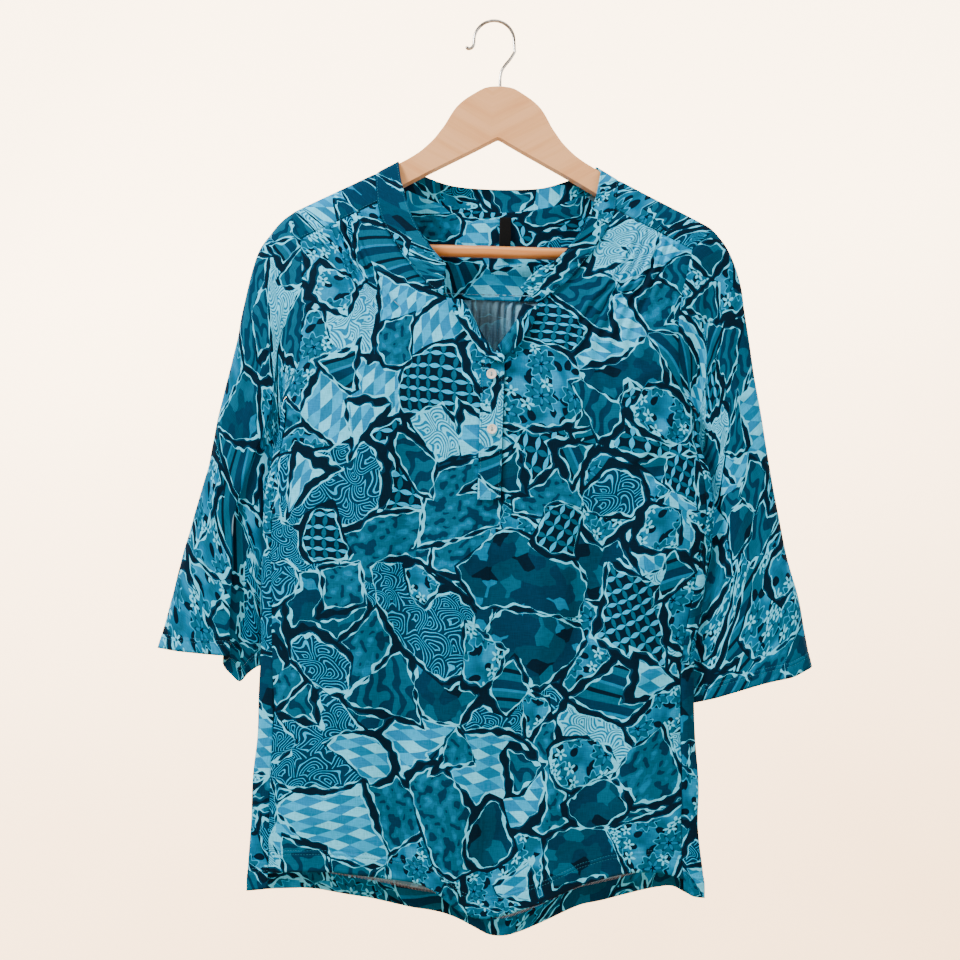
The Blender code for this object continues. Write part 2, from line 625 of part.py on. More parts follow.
def build_back(group):
    levels = np.concatenate([BACK_LEVELS, lower_levels()[:-1], [BACK_HEM_END]])
    start, end, pleats = GATHERS_BACK
    outer = BACK_SHARES
    middle = np.linspace(0.5 + start / BACK_WIDTH, 0.5 + end / BACK_WIDTH, 2 * pleats + 1)
    shares = np.concatenate([outer, middle, (1 - outer)[::-1]])
    inner = np.linspace(outer[2], 1 - outer[2], len(shares) - 4)[1:-1]
    evenly = np.concatenate([outer[:3], inner, (1 - outer[:3])[::-1]])
    rows = []
    for low in levels:
        spread = np.clip((low - BACK_EVEN_FROM) / BACK_EVEN_OVER, 0, 1)
        row = even(back_row(low), shares + (evenly - shares) * spread)
        share = np.clip((low - LOWER_START) / (BACK_HEM_END - LOWER_START), 0, 1)
        hem = np.interp(row[:, 0], BACK_HEM[:, 0], BACK_HEM[:, 1])
        row[:, 1] += (hem - BACK_HEM_END) * share**2
        rows.append(row)
    grid = np.array(rows)
    number = np.arange(len(shares))
    inside = (number > len(outer)) & (number < len(outer) + 2 * pleats)
    wave = inside * np.where(number % 2 == 0, -1.0, 1.0)
    rise = np.interp(np.arange(len(grid)), BACK_GATHER_RISE[:, 0], BACK_GATHER_RISE[:, 1])
    grid[..., 2] += rise[:, None] * wave[None, :]
    grid = pull_in(level(grid), SEAM_GAP / 2 + 0.1, ["left", "right"])
    grid = pull_in(grid, SEAM_GAP, ["top"])
    cloth("back", grid, CLOTH, TEAL_DARK, group)


def even(line, shares):
    """Points at these shares of a line's length."""
    steps = np.linalg.norm(np.diff(line, axis=0), axis=1)
    lengths = np.concatenate([[0], np.cumsum(steps)])
    return line_at(np.asarray(shares) * lengths[-1], lengths, line)


def yoke_ribs():
    """Neck end and outer end of each rib, from the left front round the back to the right front."""
    neck_left = YOKE_RIBS[:, :3] * (-1, 1, 1)
    neck_right = YOKE_RIBS[:, :3]
    outer_left = YOKE_RIBS[:, 3:6] * (-1, 1, 1)
    outer_right = YOKE_RIBS[:, 6:9]
    neck = np.concatenate([neck_left, neck_right[::-1][1:]])
    outer = np.concatenate([outer_left, outer_right[::-1][1:]])
    return neck, outer


def build_yoke(group):
    neck, outer = yoke_ribs()
    shares = np.linspace(0, 1, 8)
    grid = neck[:, None] + (outer - neck)[:, None] * shares[None, :, None]
    grid = pull_in(grid, SEAM_GAP / 2, ["left", "right", "top", "bottom"])
    cloth("yoke", grid, CLOTH, TEAL, group)
    inner = neck[FACING_FROM:-FACING_FROM], outer[FACING_FROM:-FACING_FROM]
    shares = np.linspace(0.0, 1.0, 6)
    facing = inner[0][:, None] + (inner[1] - inner[0])[:, None] * shares[None, :, None]
    facing[..., 2] -= FACING_GAP
    facing = pull_in(facing, SEAM_GAP / 2, ["left", "right"])
    cloth("yoke_facing", facing, CLOTH, TEAL, group)


def build_band(group):
    mirrored = BAND_LEFT[len(BAND_RIGHT_FRONT):] * (-1, 1, 1, -1, 1, 1)
    right = np.concatenate([BAND_RIGHT_FRONT, mirrored])[::-1][1:]
    both = np.concatenate([BAND_LEFT, right])
    shares = np.linspace(0, 1, 5)
    seam, free = both[:, :3], both[:, 3:]
    grid = seam[:, None] + (free - seam)[:, None] * shares[None, :, None]
    grid = pull_in(grid, SEAM_GAP / 2, ["left"])
    cloth("neck_band", grid, BAND_CLOTH, TEAL, group)


def lapel_rows(fold, edge, count):
    """Ribbon rows of a turned-back lapel: under the fold, the fold, then out to the free edge."""
    shares = np.linspace(0, 1, count)
    fold = along(fold, shares)
    edge = along(edge, shares)
    depth = front_depth(fold[:, 0], fold[:, 1])
    flat = fold[:, None] + (edge - fold)[:, None] * LAPEL_SECTION[None, :, 0, None]
    deep = depth[:, None] - LAPEL_SECTION[None, :, 1]
    return np.concatenate([flat, deep[..., None]], axis=-1)


def build_plackets(group):
    across = np.linspace(PLACKET_LEFT, PLACKET_RIGHT, 6)
    downs = PLACKET_DOWNS
    closed = on_front(across[None, :] + 0 * downs[:, None], downs[:, None] + 0 * across[None, :])
    base = closed.copy()
    lift = np.interp(downs, PLACKET_LIFT[:, 0], PLACKET_LIFT[:, 1])
    closed[..., 2] = (front_depth(np.full_like(downs, 1.0), downs) - PLACKET_TOP_DEPTH - lift)[:, None]
    lapel = lapel_rows(LAPEL_LEFT_FOLD, LAPEL_LEFT_EDGE, 7)
    turn = PLACKET_TURN + (0, 0, front_depth(0.0, PLACKET_TURN_DOWN))
    grid = level(np.concatenate([lapel, turn[None], closed]))
    cloth("placket_top", grid, PLACKET_CLOTH, TEAL_PALE, group)
    under = base[:-1].copy()
    start, end = PLACKET_UNDER_SHIFT
    under[..., 0] = np.linspace(PLACKET_LEFT + start, PLACKET_RIGHT + end, 6)[None, :]
    under[..., 1] = np.minimum(under[..., 1], PLACKET_UNDER_END)
    under[..., 2] = front_depth(np.full(len(under), 1.0), under[:, 0, 1])[:, None] - PLACKET_UNDER_DEPTH
    lapel = lapel_rows(LAPEL_RIGHT_FOLD, LAPEL_RIGHT_EDGE, 6)[:, ::-1]
    grid = level(np.concatenate([lapel, under]))
    cloth("placket_under", grid, PLACKET_CLOTH, TEAL_DARK, group)


def build_sleeve(name, side, group):
    """Front and back of a sleeve as two sheets between the armhole, the edges and the hem, joined in a tube."""
    column = 1 if side < 0 else 2
    outer_table = np.stack([side * SLEEVE_OUTER[:, column], SLEEVE_OUTER[:, 0], SLEEVE_OUTER[:, 3]], axis=-1)
    inner_table = np.stack([side * SLEEVE_INNER[:, column], SLEEVE_INNER[:, 0], SLEEVE_INNER[:, 3]], axis=-1)
    hem_table = HEM_LEFT_FRONT if side < 0 else HEM_RIGHT_FRONT
    end_down = SLEEVE_HEM_INNER_DOWN[0 if side < 0 else 1]
    inner_table[-2:, 1] = (end_down - SLEEVE_TURN, end_down)
    inner_table[-1] = hem_table[-1, 1:]
    hem = level(hem_table[:, 1:])
    rows = SLEEVE_ROWS
    ribs = 3 if side < 0 else 6
    yoke_edge = YOKE_RIBS[:, ribs:ribs + 3] * (side, 1, 1)
    armhole_front = np.concatenate([yoke_edge[RIB_TOP::-1], front_armhole(side)])
    armhole_back = np.concatenate([yoke_edge[RIB_TOP:RIB_BACK_END], back_armhole(side, column)])
    underarm = armhole_front[-1] + np.array(UNDERARM_STEP) * (side, 1, 1)
    armhole_front[-1] = armhole_back[-1] = underarm
    outer = along(np.concatenate([yoke_edge[RIB_TOP:RIB_TOP + 1], level(outer_table)[1:]]), rows)
    inner = along(np.concatenate([underarm[None], level(inner_table)[1:]]), rows)
    sheets = []
    for armhole, is_front in ((armhole_front, True), (armhole_back, False)):
        number = np.arange(len(armhole))
        if is_front:
            fold = LEFT_CREASE_COLUMN
            shares = arc_shares(armhole)
            if side < 0:
                keys = np.concatenate([LEFT_SHARES, [(fold + 1, 0.72), (number[-1], 1)]])
                shares = np.interp(number, keys[:, 0], keys[:, 1])
            end = line_at(shares, hem_table[:, 0], hem)
        else:
            shares = np.linspace(0, 1, len(armhole))
            shares = (1 - np.cos(shares * np.pi)) / 2 * 0.6 + shares * 0.4
            end = hem[0] + (hem[-1] - hem[0]) * shares[:, None]
            bulge = (1 - np.abs(2 * shares - 1) ** 2.6) ** (1 / 2.2)
            end[:, 2] += (SLEEVE_BACK_DEPTH - end[:, 2]) * bulge
        t = rows[:, None, None]
        x = (1 - t) * arc_shares(armhole)[None, :, None] + t * shares[None, :, None]
        grid = (1 - t) * armhole[None] + t * end[None]
        corners = (1 - x) * ((1 - t) * armhole[0] + t * end[0]) + x * ((1 - t) * armhole[-1] + t * end[-1])
        grid = grid + (1 - x) * outer[:, None] + x * inner[:, None] - corners
        if is_front and side < 0:
            grid = crease(grid, fold, rows)
        if is_front:
            grid = behind_body(grid)
        sheets.append(grid)
    front, back = sheets
    back[:, 1:-1, 2] = np.maximum(back[:, 1:-1, 2], behind_body(back.copy())[:, 1:-1, 2])
    tube = np.concatenate([front, back[:, ::-1][:, 1:-1]], axis=1)
    down = tube[0, :, 1]
    gap = np.interp(down, ARMHOLE_GAP[:, 0], ARMHOLE_GAP[:, 1])
    tube = pull_in(tube, gap[:, None], ["top"])
    cloth(name, tube, CLOTH, TEAL, group, ring=True)


def arc_shares(line):
    steps = np.linalg.norm(np.diff(line, axis=0), axis=1)
    return np.concatenate([[0], np.cumsum(steps)]) / steps.sum()


def front_armhole(side):
    """The front panel's own points down the armhole, to the underarm."""
    downs = FRONT_ROWS[1:12, 0]
    across = side_seam(downs, side)
    return level(on_front(across, downs))


def back_armhole(side, column):
    """The back panel's own points down the armhole, to the underarm."""
    downs = BACK_LEVELS[1:8].astype(float)
    across = side * smooth_at(downs, ARMHOLE_BACK[:, 0], ARMHOLE_BACK[:, column])
    return level(np.stack([across, downs, back_depth(across, downs)], axis=-1))


def behind_body(grid):
    """Keeps a sleeve's points behind the side of the body, which hangs in front of it below the underarm."""
    across, down = grid[..., 0], grid[..., 1]
    half = half_width(across, down) * (1 - 8 / VIEW_DISTANCE)
    held = np.sign(across) * np.minimum(np.abs(across), half - 1.0)
    least = back_depth(held, down) + 2.6 - np.maximum(0, np.abs(across) - half - 4) * 0.9
    ramp = np.clip((down - 266) / 14, 0, 1)
    pushed = np.maximum(grid[..., 2], least)
    grid[..., 2] += (pushed - grid[..., 2]) * ramp
    return grid


def crease(grid, edge, rows):
    """Slides the fold column of the left sleeve's front onto its upright line, more towards the hem."""
    grid = grid.copy()
    last = grid.shape[1] - 1
    weight = np.interp(np.arange(last + 1), [0, 3, edge, edge + 1, last - 1, last], [0, 0.05, 1, 1, 0.25, 0])
    for r, t in enumerate(rows):
        hold = np.clip((t - 0.3) / 0.35, 0, 1)
        hold = hold * hold * (3 - 2 * hold)
        target = LEFT_CREASE - 1.5 * t
        shift = (target - grid[r, edge, 0]) * hold
        grid[r, :, 0] += shift * weight
    return grid


def lathe(name, profile, look, group, steps=24):
    """A turned solid about its own Z axis from (radius, height) rows, top to bottom, ending on the axis."""
    mesh = bpy.data.meshes.new(name)
    points = [(radius / 1000, 0, height / 1000) for radius, height in profile]
    mesh.from_pydata(points, [(i, i + 1) for i in range(len(points) - 1)], [])
    thing = bpy.data.objects.new(name, mesh)
    turn = thing.modifiers.new("Turn", "SCREW")
    turn.axis = "Z"
    turn.angle = 2 * math.pi
    turn.steps = steps
    turn.render_steps = steps
    turn.use_merge_vertices = True
    turn.merge_threshold = 0.00001
    turn.use_smooth_shade = True
    return finish(name, thing, look, group)


def cut(thing, cutter):
    hole = thing.modifiers.new("Hole", "BOOLEAN")
    hole.operation = "DIFFERENCE"
    hole.solver = "EXACT"
    hole.object = cutter
    cutter.display_type = "WIRE"
    cutter.hide_render = True


def drill(name, diameter, length, centre, turn, group):
    """A round cutter through a point given in the hanger's own sizes."""
    bpy.ops.mesh.primitive_cylinder_add(
        vertices=20,
        radius=diameter / 2000,
        depth=length / 1000,
        location=place([centre])[0].tolist(),
        rotation=turn,
    )
    return finish(name, bpy.context.object, WOOD, group)


def build_hanger(group, cutters):
    right = WOOD_OUTLINE
    left = (WOOD_OUTLINE * (-1, 1))[1:-1][::-1]
    outline = np.concatenate([right, left])
    curve = bpy.data.curves.new("hanger_body", "CURVE")
    curve.dimensions = "2D"
    curve.fill_mode = "BOTH"
    curve.extrude = (WOOD_THICKNESS / 2 - WOOD_ROUNDING) / 1000
    curve.bevel_depth = WOOD_ROUNDING / 1000
    curve.bevel_resolution = 1
    curve.offset = -WOOD_ROUNDING / 1000
    spline = curve.splines.new("POLY")
    spline.points.add(len(outline) - 1)
    for point, (across, down) in zip(spline.points, outline):
        point.co = (across / 1000, -down / 1000, 0, 1)
    spline.use_cyclic_u = True
    drawn = bpy.data.objects.new("hanger_drawn", curve)
    group.objects.link(drawn)
    bpy.context.view_layer.update()
    graph = bpy.context.evaluated_depsgraph_get()
    mesh = bpy.data.meshes.new_from_object(drawn.evaluated_get(graph))
    bpy.data.objects.remove(drawn, do_unlink=True)
    bpy.data.curves.remove(curve)
    edited = bmesh.new()
    edited.from_mesh(mesh)
    bmesh.ops.remove_doubles(edited, verts=edited.verts, dist=0.00001)
    edited.to_mesh(mesh)
    edited.free()
    body = bpy.data.objects.new("hanger_body", mesh)
    finish("hanger_body", body, WOOD, group)
    mesh.shade_smooth()
    mesh.set_sharp_from_angle(angle=math.radians(35))
    body.rotation_euler = (math.pi / 2, 0, 0)
    body.location = place([(0, 0, 0)])[0]
    stem = drill("hook_socket", HOOK_WIRE + SOCKET_PLAY, 30, (0.6, -52, 0), (0, 0, 0), cutters)
    cut(body, stem)
    sideways = (0, math.pi / 2, 0)
    for side, label in ((-1, "left"), (1, "right")):
        middle = (side * BAR_SOCKET_ACROSS, BAR_DOWN, 0)
        width = BAR_TENON_DIAMETER + SOCKET_PLAY
        seat = drill("bar_socket_" + label, width, BAR_SOCKET_LENGTH, middle, sideways, cutters)
        cut(body, seat)

    radius = BAR_DIAMETER / 2
    tenon = BAR_TENON_DIAMETER / 2
    reach = BAR_HALF + BAR_TENON_LENGTH
    profile = [
        (0, reach), (tenon, reach), (tenon, BAR_HALF), (radius, BAR_HALF),
        (radius, -BAR_HALF), (tenon, -BAR_HALF), (tenon, -reach), (0, -reach),
    ]
    bar = lathe("trouser_bar", profile, BAR_WOOD, group, 20)
    bar.rotation_euler = (0, math.pi / 2, 0)
    bar.location = place([(0, BAR_DOWN, 0)])[0]


def build_hook(group):
    """Bent wire: straight stem, a lean to the right, a round arc over the top and a flick at the tip."""
    wire = [(0.6, -38.5), (0.6, -50), (0.6, -62), (1.8, -68), (5, -73.5), (10, -80), (14.2, -87)]
    centre = (HOOK_REST_ACROSS, -97.8)
    reach = HOOK_ARC - HOOK_WIRE / 2
    for degrees in range(-5, 186, 10):
        angle = math.radians(degrees)
        wire.append((centre[0] + reach * math.cos(angle), centre[1] - reach * math.sin(angle)))
    wire += [(-27.0, -92.5), (-29.3, -89.8), (-32.0, -89.2), (-34.0, -90.4)]
    curve = bpy.data.curves.new("hanger_hook", "CURVE")
    curve.dimensions = "3D"
    curve.bevel_depth = HOOK_WIRE / 2000
    curve.bevel_resolution = 2
    curve.use_fill_caps = True
    spline = curve.splines.new("POLY")
    spline.points.add(len(wire) - 1)
    for i, (point, (across, down)) in enumerate(zip(spline.points, wire)):
        x, y, z = place([(across, down, 0)])[0]
        point.co = (x, y, z, 1)
        point.radius = 1.0 if i < len(wire) - 1 else 1.25
    hook = bpy.data.objects.new("hanger_hook", curve)
    finish("hanger_hook", hook, CHROME, group)
    weld = hook.modifiers.new("Weld", "WELD")
    weld.merge_threshold = 0.00001


def build_buttons(group, cutters):
    radius = BUTTON_DIAMETER / 2
    half = BUTTON_THICKNESS / 2
    profile = [
        (0, half - 0.5), (radius - 1.6, half - 0.5), (radius - 1.1, half), (radius - 0.5, half),
        (radius, half - 0.5), (radius, -half + 0.6), (radius - 0.7, -half), (0, -half),
    ]
    places = [("button_upper", 0.0, 235.0, 5.0), ("button_lower", 2.0, 290.0, 0.0)]
    for name, across, down, lean in places:
        lift = 0.9 if name == "button_upper" else 0.0
        deep = float(front_depth(1.0, down)) - PLACKET_TOP_DEPTH - lift - PLACKET_CLOTH / 2 - SEAM_GAP - half - 0.1
        centre = level([(across, down, deep)])[0]
        button = lathe(name, profile, PEARL, group, 24)
        button.rotation_euler = (math.pi / 2, 0, math.radians(lean))
        button.location = place([centre])[0]
        for step in (-1, 1):
            spot = centre + (0, step * BUTTON_HOLE_PITCH / 2, 0)
            turn = (math.pi / 2, 0, 0)
            cutter = drill(name + "_hole" + str(step + 1), BUTTON_HOLE, 6, spot, turn, cutters)
            cut(button, cutter)


def build_label(group):
    """Bare woven strip, hanging inside the back from the band seam."""
    shares = np.linspace(0, 1, 7)
    downs = LABEL_TOP + LABEL_LENGTH * shares
    depth = LABEL_DEPTH - LABEL_SAG * np.sin(shares * math.pi)
    across = LABEL_ACROSS
    grid = np.stack([
        across[None, :] + 0 * downs[:, None],
        downs[:, None] + 0 * across[None, :],
        depth[:, None] + 0 * across[None, :],
    ], axis=-1)
    cloth("label", level(grid), LABEL_CLOTH, BLACK, group)


def main():
    clear_scene()
    blouse = new_collection("blouse_on_hanger")
    cutters = new_collection("cutters", helper=True)
    build_hanger(blouse, cutters)
    build_hook(blouse)
    build_yoke(blouse)
    build_band(blouse)
    build_front(blouse)
    build_back(blouse)
    build_sleeve("sleeve_left", -1, blouse)
    build_sleeve("sleeve_right", 1, blouse)
    build_plackets(blouse)
    build_buttons(blouse, cutters)
    build_label(blouse)


main()
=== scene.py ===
"""Looks of a women's popover blouse with three-quarter sleeves, hanging on a flat wooden hanger.

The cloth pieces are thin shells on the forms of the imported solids: each panel is drawn as a coarse cage of
points, read as a smooth surface, given its creases, hems and rolled seam edges, and dressed in a printed
patchwork. Cage points are (across, down, depth) in millimetres from the notch under the hanger's middle, to
the right, downwards and away from the viewer. Finished pieces stand in metres from the inner top of the hook.
"""

import logging
import math
from collections.abc import Iterable, Sequence
from dataclasses import dataclass
from enum import Enum

import bpy
import numpy as np
from mathutils import Matrix, Vector


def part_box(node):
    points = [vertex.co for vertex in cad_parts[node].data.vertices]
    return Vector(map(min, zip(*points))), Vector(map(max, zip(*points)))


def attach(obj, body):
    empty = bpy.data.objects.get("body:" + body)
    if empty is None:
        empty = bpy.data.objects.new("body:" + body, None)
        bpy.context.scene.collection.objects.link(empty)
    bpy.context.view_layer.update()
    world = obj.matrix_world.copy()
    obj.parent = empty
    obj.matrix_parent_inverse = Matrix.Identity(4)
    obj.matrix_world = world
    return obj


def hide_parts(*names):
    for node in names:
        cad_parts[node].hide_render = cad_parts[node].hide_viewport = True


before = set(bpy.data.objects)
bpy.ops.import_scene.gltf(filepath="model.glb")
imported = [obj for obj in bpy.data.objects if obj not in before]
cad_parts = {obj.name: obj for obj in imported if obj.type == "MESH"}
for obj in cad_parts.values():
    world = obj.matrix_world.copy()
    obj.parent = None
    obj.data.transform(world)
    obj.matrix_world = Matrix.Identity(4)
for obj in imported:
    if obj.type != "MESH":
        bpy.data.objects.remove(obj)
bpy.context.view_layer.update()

LOG = logging.getLogger("blouse")
BODY_NAME = "root"
# Millimetres to one unit of the cloth's map.
CLOTH_UNIT = 100.0
# Height between the close rows of points round a hem's stitches.
HEM_ROW = 0.75
# Where a twin needle's two rows run, from the top of the turned-up cloth.
TWIN_NEEDLE = (-2.2, 1.6)
# How far down the underarm and the placket's end are.
UNDERARM = 266.0
PLACKET_END = 357.0

Table = tuple[tuple[float, ...], ...]
Grid = np.ndarray
Piece = bpy.types.Object
Material = bpy.types.Material
Tree = bpy.types.NodeTree


def smooth_at(x: Grid | float, keys: Grid, values: Grid) -> Grid:
    """Reads a table at x along a smooth curve through its rows.

    Args:
        x: Places to read, held inside the table's ends.
        keys: The table's places, rising.
        values: The table's values, one for each key, or one row for each key.

    Returns:
        The values at x.
    """
    keys = np.asarray(keys, float)
    values = np.asarray(values, float)
    x = np.clip(np.asarray(x, float), keys[0], keys[-1])
    slopes = np.gradient(values, keys, axis=0)
    i = np.clip(np.searchsorted(keys, x, side="right") - 1, 0, len(keys) - 2)
    step = keys[i + 1] - keys[i]
    t = (x - keys[i]) / step
    more = (1,) * (values.ndim - 1)
    step, t = step.reshape(step.shape + more), t.reshape(t.shape + more)
    return (
        (2 * t**3 - 3 * t**2 + 1) * values[i]
        + (t**3 - 2 * t**2 + t) * step * slopes[i]
        + (3 * t**2 - 2 * t**3) * values[i + 1]
        + (t**3 - t**2) * step * slopes[i + 1]
    )


def line_at(x: Grid, keys: Grid, rows: Grid) -> Grid:
    """Reads each column of a table at x, straight between its rows."""
    rows = np.asarray(rows, float)
    return np.stack([np.interp(x, keys, rows[:, c]) for c in range(rows.shape[1])], axis=-1)


def lengths_of(line: Grid) -> Grid:
    """Distance along a line of points from its start to each of them."""
    steps = np.linalg.norm(np.diff(line, axis=0), axis=-1)
    return np.concatenate([[0], np.cumsum(steps)])


def shares_of(line: Grid) -> Grid:
    """Distances along a line as shares of its whole length."""
    lengths = lengths_of(line)
    return lengths / lengths[-1]


def even(line: Grid, shares: Grid) -> Grid:
    """Points at these shares of a line's length."""
    lengths = lengths_of(line)
    return line_at(np.asarray(shares) * lengths[-1], lengths, line)


def along(rows: Grid, shares: Grid) -> Grid:
    """Points at these shares of the length of a smooth curve through the rows."""
    rows = np.asarray(rows, float)
    keys = lengths_of(rows)
    fine = smooth_at(np.linspace(0, keys[-1], 400), keys, rows)
    return even(fine, shares)


def ramp(x: Grid, start: float, end: float) -> Grid:
    """0 before start, 1 after end, and a soft step between them."""
    t = np.clip((np.asarray(x, float) - start) / (end - start), 0, 1)
    return t * t * (3 - 2 * t)


@dataclass(frozen=True)
class HangingFrame:
    """Turns the cages' millimetres into the finished part's metres.

    rest is where the hook's inner top is, and view is the eye from which the points were read.
    """

    rest_across: float = -6.7
    rest_down: float = -116.3
    view_distance: float = 1050.0
    view_across: float = -8.5
    view_down: float = 341.4

    def level(self, points: Grid) -> Grid:
        """Takes the front view's perspective out of points that were read off it."""
        points = np.array(points, float)
        scale = 1 + points[..., 2] / self.view_distance
        points[..., 0] = self.view_across + (points[..., 0] - self.view_across) * scale
        points[..., 1] = self.view_down + (points[..., 1] - self.view_down) * scale
        return points

    def place(self, points: Grid) -> Grid:
        """Metres from the hook's inner top for points in millimetres from the notch."""
        points = np.asarray(points, float)
        across = points[..., 0] - self.rest_across
        up = self.rest_down - points[..., 1]
        return np.stack([across, points[..., 2], up], axis=-1) / 1000


HUNG = HangingFrame()


def folds_at(across: Grid, down: Grid, table: Table) -> Grid:
    """Sum of soft ridges and troughs that start at their top end and run on below their lower end."""
    total = np.zeros(np.broadcast(across, down).shape)
    for top_across, top_down, end_across, end_down, half, height in table:
        run = np.array([end_across - top_across, end_down - top_down])
        length = np.linalg.norm(run)
        run = run / length
        way = (across - top_across) * run[0] + (down - top_down) * run[1]
        off = (across - top_across) * run[1] - (down - top_down) * run[0]
        share = np.clip(way / length, -0.25, 1.1)
        total = total + height * ramp(share, -0.25, 0.1) * np.exp(-((off / half) ** 2))
    return total


def creases_at(across: Grid, down: Grid, table: Table) -> Grid:
    """Sum of fine creases that fade out at both ends.

    Args:
        across: Across of each point.
        down: Down of each point.
        table: Rows of start across and down, end across and down, bow, half-width and height.

    Returns:
        Height of the cloth above its plain form.
    """
    total = np.zeros(np.broadcast(across, down).shape)
    for start_across, start_down, end_across, end_down, bow, half, height in table:
        run = np.array([end_across - start_across, end_down - start_down])
        length = np.linalg.norm(run)
        run = run / length
        way = ((across - start_across) * run[0] + (down - start_down) * run[1]) / length
        off = (across - start_across) * run[1] - (down - start_down) * run[0]
        held = np.clip(way, 0, 1)
        off = off - bow * 4 * held * (1 - held)
        fade = ramp(way, -0.08, 0.22) * (1 - ramp(way, 0.7, 1.08))
        total = total + height * fade * np.exp(-((off / half) ** 2))
    return total


def softness(across: Grid, down: Grid, seed: int, height: float) -> Grid:
    """Uneven low swells, as of light cloth that has been worn and washed."""
    source = np.random.default_rng(seed)
    total = np.zeros(np.broadcast(across, down).shape)
    for _ in range(16):
        angle = source.uniform(-0.6, 0.6) + (math.pi / 2 if source.random() < 0.3 else 0)
        length = source.uniform(24, 85)
        phase = source.uniform(0, 2 * math.pi)
        turn = (across * math.cos(angle) + down * math.sin(angle)) / length
        total = total + np.sin(2 * math.pi * turn + phase) * length / 60
    return total * height / 4


@dataclass(frozen=True)
class BodyForm:
    """Form of the hanging body: how deep its front and back hang at each place.

    Sections are down, half-width left and right, depth of the side fold, of the front and of the back.
    Folds are across and down at the top, across and down at the bottom, half-width and height.
    """

    sections: Table = (
        (20, 276, 276, -1, -11, 17), (64, 264, 266, -2, -15, 20), (105, 252, 250, -3, -20.5, 22),
        (166, 236, 230, -5, -29, 24), (214, 223, 214, -6, -35, 25), (267, 207, 206, -7, -38, 26),
        (292, 210, 209, -8, -38, 26), (341, 221, 225, -8, -37, 26), (390, 225, 226, -8, -35, 26),
        (451, 224.5, 218, -8, -33, 25), (516, 224, 211, -8, -31, 24), (567, 222.5, 212, -8, -29, 23),
        (628, 227, 219, -8, -27, 22), (688, 230, 222, -8, -25, 21), (738, 233, 229, -8, -23, 20),
        (800, 235, 232, -8, -21, 19),
    )
    side_seam_inset: Table = ((267, 2.5), (341, 7), (451, 10), (567, 14), (688, 20), (800, 26))
    front_folds: Table = (
        (-112, 240, -128, 740, 26, 4.5), (-78, 330, -84, 745, 24, -3.5), (-172, 380, -180, 735, 20, 3.5),
        (-182, 250, -130, 420, 22, -4.5), (-30, 420, -36, 780, 24, 3.0), (24, 400, 26, 780, 24, -2.5),
        (66, 380, 72, 760, 24, 3.5), (110, 260, 116, 735, 24, -3.5), (152, 300, 160, 725, 24, 4.5),
        (182, 256, 124, 410, 20, -4.5),
    )
    back_folds: Table = (
        (-24, 210, -38, 760, 22, 4.0), (26, 210, 42, 760, 22, 3.5), (-112, 240, -128, 740, 28, 4.0),
        (112, 240, 126, 735, 28, 4.0), (-72, 300, -84, 740, 24, -3.5), (76, 310, 84, 740, 24, -3.5),
        (-168, 380, -178, 740, 22, 3.0), (160, 360, 170, 735, 22, 3.0),
    )
    armhole_front: Table = (
        (105, 195, 197.5), (135, 192.5, 191.5), (166, 192, 187), (209, 192, 186.5), (230, 195, 189),
        (249, 200, 194), (267, 205, 203),
    )
    armhole_back: Table = (
        (163, 196, 192, 21), (190, 195, 190, 21), (215, 194, 189, 18), (240, 197, 192, 11),
        (257, 202, 194.5, -4), (267, 205, 203.5, -12),
    )

    def section(self, column: int, down: Grid) -> Grid:
        """One column of the sections' table at these downs."""
        rows = np.array(self.sections)
        return smooth_at(down, rows[:, 0], rows[:, column])

    def half_width(self, across: Grid, down: Grid) -> Grid:
        """Half of the body's width on the side where a point lies."""
        return np.where(np.asarray(across) < 0, self.section(1, down), self.section(2, down))

    def front_depth(self, across: Grid, down: Grid) -> Grid:
        """Depth of the front's cloth."""
        nose, deep = self.section(3, down), self.section(4, down)
        share = np.clip(np.abs(across) / self.half_width(across, down), 0, 1)
        round_off = (1 - share**3.2) ** (1 / 2.4)
        return nose + (deep - nose) * round_off - folds_at(across, down, self.front_folds) * (1 - share**6)

    def back_depth(self, across: Grid, down: Grid) -> Grid:
        """Depth of the back's cloth."""
        nose, deep = self.section(3, down), self.section(5, down)
        share = np.clip(np.abs(across) / self.half_width(across, down), 0, 1)
        hanging = nose + (deep - nose) * (1 - share**2.6) ** 0.6
        rows = np.array(self.armhole_back)
        edges = smooth_at(down, rows[:, 0], rows[:, 1]), smooth_at(down, rows[:, 0], rows[:, 2])
        edge = np.where(np.asarray(across) < 0, *edges)
        edge_depth = smooth_at(down, rows[:, 0], rows[:, 3])
        near = np.clip(np.abs(across) / edge, 0, 1)
        upper = deep - (deep - edge_depth) * near**6
        mix = ramp(down, 250, 310)
        shape = upper * (1 - mix) + hanging * mix
        return shape + folds_at(across, down, self.back_folds) * (1 - share**6)

    def on_front(self, across: Grid, down: Grid) -> Grid:
        """Points of the front's cloth, as seen from the front."""
        across, down = np.broadcast_arrays(np.asarray(across, float), np.asarray(down, float))
        return np.stack([across, down, self.front_depth(across, down)], axis=-1)

    def side_seam(self, down: Grid, side: int) -> Grid:
        """Across of the side seam, or of the front armhole above the underarm."""
        column = 1 if side < 0 else 2
        holes, insets = np.array(self.armhole_front), np.array(self.side_seam_inset)
        armhole = smooth_at(down, holes[:, 0], holes[:, column])
        seam = self.section(column, down) - smooth_at(down, insets[:, 0], insets[:, 1])
        mix = np.clip((down - 255) / 25, 0, 1)
        return side * (armhole * (1 - mix) + seam * mix)


FORM = BodyForm()


